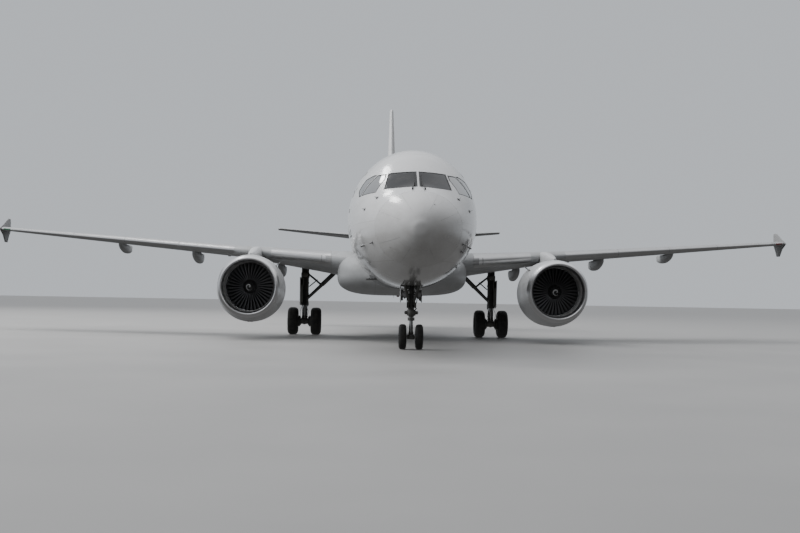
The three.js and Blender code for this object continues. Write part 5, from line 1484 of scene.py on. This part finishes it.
noseLeg = {
    "radius": 0.085, "piston": 0.06, "lamps": 1.64, "lampX": 0.205, "bay": 0.3296,
    # from, to and radius of the rings round the leg
    "rings": ((1.01, 1.19, 0.132), (1.3, 1.36, 0.1), (1.72, 1.77, 0.098), (2.1, 2.3, 0.105)),
    # start, end, radius, sides and softness of the bars on both sides of the leg
    "braces": (
        ((0.06, -0.03, 1.1), (0.195, -0.03, 1.1), 0.052, 28, 0.008),
        ((0.19, -0.03, 1.1), (0.208, -0.03, 1.1), 0.03, 6, 0.003),
        ((0.04, -0.02, 1.33), (0.28, -0.36, 2.12), 0.04, 20, 0.004),
        ((0.05, -0.05, 1.86), (0.31, -0.16, 2.14), 0.03, 16, 0.004),
        ((0.05, -0.08, 1.5), (0.17, -0.1, 1.62), 0.022, 12, 0.003),
        ((0.035, -0.06, 1.33), (0.085, 0.0, 1.42), 0.05, 16, 0.004)),
    # across, half width, front, back, low, high and softness
    "boxes": ((0.14, 0.05, -0.12, -0.02, 1.8, 1.96, 0.008), (0.115, 0.03, -0.13, -0.03, 1.24, 1.38, 0.008),
              (0.205, 0.02, -0.08, -0.03, 1.51, 1.56, 0.006)),
    "cup": ((-0.13, 0.09), (-0.13, 0.104), (-0.12, 0.106), (-0.09, 0.1), (-0.05, 0.088), (-0.02, 0.062),
            (-0.012, 0.03), (-0.012, 0.0), (-0.1, 0.0), (-0.1, 0.086)),
    "lens": ((-0.118, 0.0), (-0.118, 0.05), (-0.112, 0.08), (-0.105, 0.089), (-0.099, 0.089), (-0.099, 0.0)),
}


def makeNoseGear():
    size = wheelSizes["nose"]
    y, z = stationY(size["station"]), axleHeight(size)
    wall, lamps, lampX = noseLeg["bay"], noseLeg["lamps"], noseLeg["lampX"]

    def at(dx, dy, height):
        return Vector((dx, y + dy, height))

    leg = bars(at, (
        ((0, 0, 0.972), (0, 0, 2.4496), noseLeg["radius"], 36, 0.006),
        *(((0, 0, low), (0, 0, high), r, 36, 0.01) for low, high, r in noseLeg["rings"]),
        ((-wall, 0, 2.2), (wall, 0, 2.2), 0.058, 24),
        ((-wall, -0.345, 2.085), (wall, -0.345, 2.085), 0.035, 20),
        ((-0.2, -0.06, lamps), (0.2, -0.06, lamps), 0.024, 16)))
    lenses = []
    for way in (-1, 1):
        # steering motors, braces and boxes beside the leg, then a lamp: a turned cup with a rim, and its lens
        leg += bars(lambda dx, dy, height: at(way * dx, dy, height), noseLeg["braces"])
        for dx, half, front, back, low, high, soft in noseLeg["boxes"]:
            leg.append(slab(at(way * dx - half, front, low), at(way * dx + half, back, high), soft))
        for made, profile in ((leg, noseLeg["cup"]), (lenses, noseLeg["lens"])):
            made.append(spun("lamp", [(a + y, r) for a, r in profile], (way * lampX, 0, lamps), "y", 40))
    finished(leg, "nose_leg_casting", shadedGearPaint, "gear_paint", "nose_leg")
    finished(lenses, "nose_lamp_lenses", lampGlass, "cockpit_glass")

    fork = bars(at, (
        ((-0.105, 0, z), (0.105, 0, z), 0.075, 32, 0.01), ((0, 0, 0.86), (0, 0, 0.959), 0.104, 32, 0.01),
        ((0, 0, 0.44), (0, 0, 0.52), 0.072, 32, 0.008)))
    fork.append(slab(at(-0.05, -0.15, z - 0.045), at(0.05, -0.04, z + 0.045)))
    for foot in ((0.085, 0.9), (0.05, 0.43)):
        fork += linkArm(0, y, foot, (0.25, 0.68), 0.055, 0.02)
    finished(fork, "nose_fork_casting", shadedGearPaint, "gear_paint", "nose_fork", "nose_fork")
    finished(rod(at(0, 0, z), at(0, 0, 1.149), noseLeg["piston"], sides=36), "nose_piston", shadedStrutMetal,
             "wheel_metal", body="nose_fork")

    # doors: a panel with two hinge straps and three stiffeners, and the lining with its link, dark with
    # painted shade
    for side, sign in sides:
        px, inside = sign * wall, sign * (wall - 0.034)
        outline = [(5.23, 1.8), (5.73, 1.81), (5.69, 1.42), (5.29, 1.4)]
        panel = prism("nose door", [(px, stationY(s), h) for s, h in outline], (-sign * 0.022, 0, 0))
        parts = [modify(panel, "BEVEL", width=0.008, segments=2)]
        for s in (5.3, 5.64):
            parts.append(slab((px, stationY(s - 0.03), 1.76), (px - sign * 0.022, stationY(s + 0.03), 2.1),
                              0.003))
        for height in (1.488, 1.608, 1.718):
            parts.append(slab((inside, stationY(5.3), height),
                              (px - sign * 0.02, stationY(5.68), height + 0.024),
                              0.003))
        finished(parts, f"nose_door_{side}_panel", smallPaint, "white_paint", f"nose_door_{side}")
        lining = [slab((inside, stationY(5.3), 1.44), (inside + sign * 0.011, stationY(5.66), 1.79), 0.004),
                  rod((inside, stationY(5.34), 1.6), (sign * 0.1, stationY(5.2), 1.86), 0.018, sides=12)]
        for s in (5.3, 5.46, 5.62):
            lining.append(slab((inside, stationY(s), 1.46),
                               (inside - sign * 0.05, stationY(s + 0.025), 1.78), 0.004))
        finished(lining, f"nose_door_{side}_lining", shadedDoorPaint, "gear_paint")

    pipes = [pipe([at(dx, dy, 2.3), at(dx, dy, 1.9), at(dx, dy, 1.45), at(dx, dy - 0.03, 1.2)], r)
             for dx, dy, r in ((-0.035, -0.1, 0.008), (0.0, -0.105, 0.01), (0.035, -0.1, 0.008))]
    for way, wide, top, low in ((-1, 0.11, 1.78, 1.3), (1, 0.13, 1.72, 1.34), (1, 0.12, 1.3, 1.14),
                                (-1, 0.1, 1.42, 1.2)):
        pipes.append(pipe([at(way * 0.07, -0.07, top), at(way * (wide + 0.03), -0.12, top - 0.08),
                           at(way * (wide + 0.02), -0.13, low + 0.08), at(way * 0.08, -0.08, low)], 0.013))
    finished(pipes, "nose_leg_pipes", blackSeal, "gear_paint")
    print("nose gear made")


makeWheels()
makeMainGear()
makeNoseGear()

# Cabin windows, door outlines and other details of the hull

cabinWindows = {"first": 7.2, "pitch": 0.533, "count": 40, "height": 4.42, "halfLong": 0.115,
                "halfTall": 0.165}
doorLines = (  # first station, last station, sill, top, of a door on both sides
    (4.62, 5.43, 3.41, 5.26), (28.92, 29.68, 3.41, 5.22), (15.47, 15.985, 3.98, 4.94),
    (16.54, 17.05, 3.98, 4.94))
accessPanels = (  # station, height, half length, half height, low on the hull
    (5.9, 2.55, 0.3, 0.22), (6.9, 2.7, 0.24, 0.3), (24.6, 2.9, 0.36, 0.25), (27.4, 3.1, 0.3, 0.3),
    (31.4, 3.9, 0.28, 0.22))
doorDetails = {"line": 0.006, "corner": 0.12, "steps": 6, "window": 4.62, "handle": 4.12}


def roundedLoop(a0, a1, b0, b1, corner, steps):
    # the corners of a rectangle of two values, rounded
    loop = []
    for ca, cb, start in ((a1 - corner, b1 - corner, 0), (a0 + corner, b1 - corner, 90),
                          (a0 + corner, b0 + corner, 180), (a1 - corner, b0 + corner, 270)):
        for k in range(steps + 1):
            angle = radians(start + 90 * k / steps)
            loop.append((ca + corner * cos(angle), cb + corner * sin(angle)))
    return loop


def skinPlate(side, loop, grow=0.003, depth=0.01):
    # a thin plate that follows the hull's skin inside a loop of (station, height)
    cs, cz = centreOf(loop)
    return layRings("plate", [
        [sidePoint(side, cs + (s - cs) * share, cz + (z - cz) * share, lift) for s, z in loop]
        for share, lift in ((0.0, grow), (0.55, grow), (1.0, grow), (1.0, grow - depth))])


def skinFrame(side, loop, width, grow=0.004, depth=0.01):
    # a flat ring on the hull's skin around a loop of (station, height)
    wider = grown(loop, width)
    rings = [[sidePoint(side, s, z, lift) for s, z in line]
             for line, lift in ((loop, grow - depth), (loop, grow), (wider, grow), (wider, grow - depth))]
    return tidyMesh(layRings("frame", rings + [rings[0]], ends=False))


def skinTube(side, loop, radius):
    # a thin round seal laid along a closed loop of (station, height) on the skin
    points = [sidePoint(side, s, z) for s, z in loop]
    rings = []
    for i, point in enumerate(points):
        along = (points[(i + 1) % len(points)] - points[i - 1]).normalized()
        out = Vector((side, 0, 0))
        across = (out - along * out.dot(along)).normalized()
        other = along.cross(across)
        rings.append([point + radius * (across * cos(a) + other * sin(a)) for a in turns(6)])
    return tidyMesh(layRings("seal", rings + [rings[0]], ends=False), gap=0.00002)


def makeCabinSide(side, name):
    def plate(s, z, long, tall, corner, steps=3):
        # a plate given by its middle and its half sizes
        return skinPlate(side, roundedLoop(s - long, s + long, z - tall, z + tall, corner, steps))

    size = cabinWindows
    panes, frames = [], []
    z, long, tall = size["height"], size["halfLong"], size["halfTall"]
    for i in range(size["count"]):
        s = size["first"] + i * size["pitch"]
        loop = roundedLoop(s - long, s + long, z - tall, z + tall, 0.1, 4)
        panes.append(skinPlate(side, loop))
        frames.append(skinFrame(side, loop, 0.022))
    size = doorDetails
    lines = [skinTube(side, roundedLoop(a, b, low, high, size["corner"], size["steps"]), size["line"])
             for a, b, low, high in doorLines]
    plates, glasses = [], []
    for a, b, low, high in doorLines[:2]:
        middle = (a + b) / 2
        plates += [plate(middle + 0.16, size["handle"], 0.14, 0.06, 0.03),
                   plate(middle, low - 0.0625, (b - a) / 2 - 0.02, 0.0275, 0.02),
                   plate(a + 0.005, 4.74, 0.03, 0.04, 0.02), plate(b - 0.005, 4.74, 0.03, 0.04, 0.02)]
        glasses.append(plate(middle, size["window"], 0.075, 0.11, 0.07, 4))
    for s, z, long, tall in accessPanels:
        lines.append(skinTube(side, roundedLoop(s - long, s + long, z - tall, z + tall, 0.05, 3), 0.004))
    for parts, title, finish, slot in (
            (panes, "cabin_windows", cabinGlass, "cockpit_glass"),
            (frames, "cabin_window_frames", smallPaint, "grey_paint"),
            (lines, "door_seals", blackSeal, "cockpit_glass"),
            (plates, "door_fittings", steelMetal, "wheel_metal"),
            (glasses, "door_windows", cabinGlass, "cockpit_glass")):
        finished(parts, f"{title}_{name}", finish, slot)


def nosePoint(x, height, grow=0.0):
    # the point of the front of the hull at a distance across and a height, pushed out along the skin's slope
    def skinHeight(station):
        crown, keel, half, waist = hullAt(station)
        if abs(x) >= half:
            return waist
        return waist + (crown - waist) * sqrt(1 - (x / half) ** 2)

    low, high = 0.1, 7.0
    for _ in range(40):
        middle = (low + high) / 2
        if skinHeight(middle) < height:
            low = middle
        else:
            high = middle
    slope = (skinHeight(low + 0.02) - skinHeight(low - 0.02)) / 0.04
    out = Vector((0, -slope, 1)).normalized()
    return Vector((x, stationY(low), height)) + grow * out


def makeWipers():
    # arms that park upright beside the centre post, each with its blade
    for side, sign in sides:
        pivot = nosePoint(sign * 0.17, 4.47)
        parts = [rod(pivot - Vector((0, 0, 0.02)), nosePoint(sign * 0.17, 4.47, 0.05), 0.022, sides=16,
                     soft=0.003)]
        for places, lift, radius, steps, around in (
                (((0.17, 4.47), (0.13, 4.58), (0.095, 4.76)), 0.04, 0.011, 4, 8),
                (((0.092, 4.6), (0.092, 4.72), (0.092, 4.85), (0.092, 4.96)), 0.018, 0.009, 3, 6),
                (((0.092, 4.63), (0.092, 4.78), (0.092, 4.93)), 0.032, 0.006, 3, 6)):
            parts.append(pipe([nosePoint(sign * x, z, lift) for x, z in places], radius, steps, around))
        finished(parts, f"wiper_{side}", blackSeal, "cockpit_glass")


def noseProbe(station, angle, kind):
    # a pitot tube on a mast, or a vane on its plate
    angle = radians(angle)
    foot = hullPoint(station, angle, -0.01)
    top = hullPoint(station, angle, 0.075)
    out = (top - foot).normalized()
    plate = rod(hullPoint(station, angle, -0.008), hullPoint(station, angle, 0.006), 0.05, sides=24,
                soft=0.002)
    if kind == "vane":
        ahead = top + Vector((0, 0.02, 0))
        corners = [ahead - out * 0.045, ahead + out * 0.01, ahead + out * 0.005 + Vector((0, 0.09, 0)),
                   ahead - out * 0.04 + Vector((0, 0.1, 0))]
        return [plate, rod(foot, top - out * 0.03, 0.012, 0.008, sides=12),
                prism("vane", corners, out.cross(Vector((0, 1, 0))) * 0.006)]
    mast = rod(foot + Vector((0, 0.05, 0)), top, 0.022, 0.013, sides=14)
    tube = rod(top + Vector((0, 0.05, 0)), top - Vector((0, 0.15, 0)), 0.0125, 0.009, sides=16)
    return [plate, mast, tube]


def makeProbes():
    probes = []
    for station, angle, kind in (
            (2.02, 38, "vane"), (2.02, 142, "vane"), (1.72, -22, "pitot"), (1.72, 202, "pitot"),
            (1.95, -31, "pitot"), (2.35, 17, "vane"), (2.35, 163, "vane")):
        probes += noseProbe(station, angle, kind)
    # air temperature scoops below the windows
    back = Vector((0, 0.035, 0))
    for angle in (-24, 204):
        foot, top = (hullPoint(2.6, radians(angle), g) for g in (-0.01, 0.09))
        probes += [rod(foot, top, 0.03, 0.018, sides=14), rod(top + back, top - back, 0.026, 0.02, 16, 0.004)]
    finished(probes, "nose_probes", shadedStrutMetal, "wheel_metal")
    # two small plugs, and lightning strips that run back from near the tip
    patches = [rod(hullPoint(station, radians(angle), -0.004), hullPoint(station, radians(angle), 0.002),
                   0.022,
                   sides=20) for station, angle in ((0.65, 62), (0.9, 217))]
    for degrees in (25, 65, 115, 155, 205, 245, 295, 335):
        patches.append(hose([hullPoint(s, radians(degrees), 0.0005) for s in spread(0.35, 1.3, 12)], 0.0025,
                            6))
    finished(patches, "radome_strips", rimMetal, "radome_paint", body="radome")


def bladeAntenna(station, z, height, chord, way):
    # a swept blade on the middle line, above or below the hull
    rings = []
    for share, length, shift in (
            (0.0, 1.0, 0.0), (0.1, 0.93, 0.07), (0.8, 0.62, 0.36), (0.97, 0.52, 0.47), (1.0, 0.4, 0.55)):
        rings.append([Vector((p.y * 1.1, stationY(station) + shift * chord + p.x, z + way * share * height))
                      for p in (foilPoint(u, 0.1, 0.0, chord * length) for u in foilSteps[::2])])
    foot = slab((-0.05, stationY(station) - 0.04, min(z, z + way * 0.008) - 0.01),
                (0.05, stationY(station) + chord + 0.04, max(z, z + way * 0.008)), 0.003)
    return [layRings("blade", rings), foot]


def makeAntennas():
    blades = []
    for place in ((12.4, 6.02, 0.3, 0.38, 1), (22.5, 6.02, 0.3, 0.38, 1), (9.2, 1.86, 0.28, 0.34, -1),
                  (8.2, 1.86, 0.12, 0.16, -1), (24.0, 1.86, 0.3, 0.36, -1)):
        blades += bladeAntenna(*place)
    finished(blades, "blade_antennas", smallPaint, "white_paint")
    # two drain masts below, and a round pad on the crown
    parts = [rod((0, stationY(station), z + 0.02), (0, stationY(station) + 0.09, z - 0.17), 0.028, 0.016,
                 sides=14)
             for station, z in ((10.2, 1.86), (25.0, 1.89))]
    parts.append(rod((0, stationY(14.4), 6.015), (0, stationY(14.4), 6.045), 0.22, 0.17, sides=40, soft=0.01))
    finished(parts, "masts_and_pads", smallPaint, "white_paint")


def dome(centre, radius, height, way):
    # a low glass dome on a flat place
    profile = ((0.0, 0.0), (0.0, radius), (height * 0.45, radius * 0.96), (height * 0.8, radius * 0.66),
               (height, 0.0))
    return layRings("dome",
                    [[Vector(centre) + Vector((r * cos(a), r * sin(a), way * along)) for a in turns(28)]
                             for along, r in profile])


def makeLights():
    beacons = [dome((0, stationY(15.4), 6.018), 0.085, 0.12, 1),
               dome((0, stationY(18.0), 1.642), 0.07, 0.06, -1)]
    finished(beacons, "red_beacons", redLamp, "cockpit_glass")
    for side, finish in (("left", redLamp), ("right", greenLamp)):
        lens = skinPatch("lens", wingSkin, 16.52, 16.86, 0.13, -0.13, 0.006, 0.02, 6, 9)
        finished(lens if side == "left" else flipped(lens), f"tip_light_{side}", finish, "cockpit_glass")
    lens = skinPatch("lens", wingSkin, 2.62, 3.02, 0.12, -0.1, 0.006, 0.02, 6, 9)
    pair(lens, "landing_light_{}", lampGlass, "cockpit_glass")
    tail = rod((0, stationY(length - 0.06), 5.14), (0, stationY(length - 0.005), 5.14), 0.04, sides=20,
               soft=0.006)
    finished(tail, "tail_light", lampGlass, "cockpit_glass")


def makeWicks():
    # static wicks on the trailing edges
    for make, name, skin, places, sink, body in (
            (pair, "wing_wicks_{}", wingSkin, (16.4, 16.65, 16.88), -0.01, "airframe"),
            (pair, "elevator_wicks_{}", stabSkin, (4.4, 4.9, 5.4, 5.85), 0.0, "elevator_{}"),
            (finished, "rudder_wicks", finSkin, (9.6, 10.2, 10.8, 11.4), 0.0, "rudder"),
            (pair, "aileron_wicks_{}", wingSkin, (12.7, 13.3, 13.9, 14.5), -0.01, "aileron_{}")):
        parts = []
        for place in places:
            foot = skin(place, 1.0) - Vector((0, 0.03, 0))
            middle = foot + Vector((0, 0.05, 0))
            parts += [rod(foot, middle, 0.009, sides=8),
                      rod(middle, foot + Vector((0, 0.2, sink)), 0.0035, sides=6)]
        make(parts, name, blackSeal, "gear_paint", None, body)


def makeUnderside():
    # tail outlet liner, jacking pads and the nose bay's walls
    tube = [(-0.415, 0.199), (-0.415, 0.12), (-0.35, 0.13), (-0.3, 0.185), (-0.004, 0.19), (-0.002, 0.199)]
    liner = spun("outlet", [(stationY(length) + a, r) for a, r in tube], (0, 0, outlet["height"]), "y", 48)
    finished(liner, "tail_outlet_liner", hotMetal, "hot_alloy")
    pads = [rod((x, stationY(station), low), (x, stationY(station), high), 0.06, sides=32, soft=0.004)
            for x, station, low, high in ((0, 6.4, 1.8377, 1.9), (6.8, 17.0, 3.0952, 3.16),
                                          (-6.8, 17.0, 3.0952, 3.16))]
    finished(pads, "jacking_pads", steelMetal, "wheel_metal")

    # the nose bay's walls: dark primer that is also painted shade
    wall, roof, low = noseLeg["bay"] + 0.0002, noseBay["roof"] - 0.001, 1.87
    front, back = stationY(noseBay["front"] + 0.002), stationY(noseBay["back"] - 0.002)
    parts = [slab((-wall, front, roof - 0.006), (wall, back, roof))]
    for sign in (1, -1):
        parts.append(slab((sign * wall, front, low + 0.05), (sign * (wall - 0.006), back, roof)))
        for y in spread(front + 0.1, back - 0.1, 5):
            parts.append(slab((sign * wall, y - 0.012, low + 0.3), (sign * (wall - 0.03), y + 0.012, roof),
                              0.002))
    for y, way in ((front, 1), (back, -1)):
        parts.append(slab((-wall, y, low + 0.05), (wall, y + way * 0.006, roof)))
        for x in (-0.16, 0.0, 0.16):
            parts.append(slab((x - 0.012, y, low + 0.08), (x + 0.012, y + way * 0.03, roof), 0.002))
    finished(parts, "nose_bay_lining", shadedBayPaint, "grey_paint")


def makeHolds():
    # floor panels with roller tracks and a ribbed liner in both holds, behind their doors
    z, roof = cargoDoors["floor"], cargoDoors["roof"]
    near, far = -1.35, cargoDoors["farSide"] - 0.002
    for key in ("forward", "aft"):
        start, end = cargoDoors[key]
        y0, y1 = stationY(start + 0.045), stationY(end - 0.045)
        parts = [slab((near, y0, z), (far, y1, z + 0.012), 0.002)]
        for y in spread(y0 + 0.22, y1 - 0.22, 4):
            parts.append(slab((near, y - 0.045, z + 0.012), (far, y + 0.045, z + 0.03), 0.004))
            parts += [rod((x, y - 0.035, z + 0.036), (x, y + 0.035, z + 0.036), 0.018, sides=10)
                      for x in spread(near + 0.1, far - 0.1, 12)]
        finished(parts, f"hold_floor_{key}", steelMetal, "wheel_metal")
        parts = [slab((far - 0.012, y0, z + 0.012), (far, y1, roof - 0.002), 0.002)]
        parts += [slab((far - 0.03, y - 0.02, z + 0.012), (far - 0.012, y + 0.02, roof - 0.01), 0.003)
                  for y in spread(y0 + 0.15, y1 - 0.15, 4)]
        finished(parts, f"hold_liner_{key}", shadedBayPaint, "grey_paint")


def bayFinish():
    # dull primer on the walls of the bays, dusty and stained, its greys kept low as painted shade inside the
    # bays
    material, tree, shader, place = startFinish("primer of the bays in painted shade")
    cloud = noise(tree, place, 3.0, 6)
    speck = noise(tree, place, 24.0, 5)
    tone = blendColour(tree, ramp(tree, cloud, 0.35, 0.7), grey(0.2, (0.94, 1, 0.9)),
                       grey(0.1, (1, 0.93, 0.8)))
    tone = blendColour(tree, ramp(tree, speck, 0.58, 0.75, 0.0, 0.5), tone, grey(0.05))
    feed(tree, shader, tone, ramp(tree, cloud, 0.3, 0.7, 0.45, 0.65), speck, 0.15, 0.002)
    return material


radar = {"plate": 0.36, "station": 0.98, "height": 3.32, "ribs": (-0.8, -0.4, 0.0, 0.4, 0.8), "rows": 7}


def makeRadar():
    # the bulkhead behind the radome with its flange and stiffeners, and the flat scanner on its mount
    back = hull["radomeEnd"]
    flange = hullSolid("flange", back - 0.05, back + 0.001, -0.05)
    cut(flange, hullSolid("hole", back - 0.1, back + 0.05, -0.11))
    parts = [hullSolid("lining", back - 0.006, back + 0.001, -0.055), flange]
    crown, keel, half, waist = hullAt(back)
    for x in radar["ribs"]:
        reach = sqrt(1 - (x / half) ** 2)
        low, high = waist - (waist - keel) * reach + 0.14, waist + (crown - waist) * reach - 0.14
        parts.append(slab((x - 0.014, stationY(back - 0.05), low), (x + 0.014, stationY(back), high), 0.004))
    finished(parts, "radome_bulkhead", shadedBayPaint, "grey_paint")

    plate, y, z = radar["plate"], stationY(radar["station"]), radar["height"]
    parts = [rod((0, y, z), (0, y + 0.03, z), plate, sides=56, soft=0.006)]
    for k in range(-radar["rows"], radar["rows"] + 1):
        height = k * plate / (radar["rows"] + 0.6)
        reach = sqrt(plate ** 2 - height ** 2) - 0.02
        parts.append(slab((-reach, y - 0.005, z + height - 0.009), (reach, y + 0.002, z + height + 0.009),
                          0.002))
    finished(parts, "radar_scanner", smallPaint, "white_paint")
    parts = [rod((0, y + 0.028, z), (0, y + 0.13, z), 0.06, sides=28, soft=0.006),
             slab((-0.11, y + 0.12, z - 0.13), (0.11, y + 0.23, z + 0.13), 0.02),
             rod((0, y + 0.22, z), (0, stationY(back - 0.004), z), 0.085, sides=32, soft=0.008)]
    for way in (-1, 1):
        parts.append(rod((way * 0.09, y + 0.18, z - 0.08), (way * 0.3, stationY(back - 0.03), z - 0.42), 0.02,
                         sides=14))
        parts.append(rod((way * 0.08, y + 0.06, z), (way * 0.16, y + 0.06, z), 0.045, sides=20, soft=0.004))
    finished(parts, "radar_mount", steelMetal, "hot_alloy")


shadedBayPaint = bayFinish()
makeRadar()
for side, sign in sides:
    makeCabinSide(sign, side)
makeWipers()
makeProbes()
makeAntennas()
makeLights()
makeWicks()
makeUnderside()
makeHolds()
print("details made")
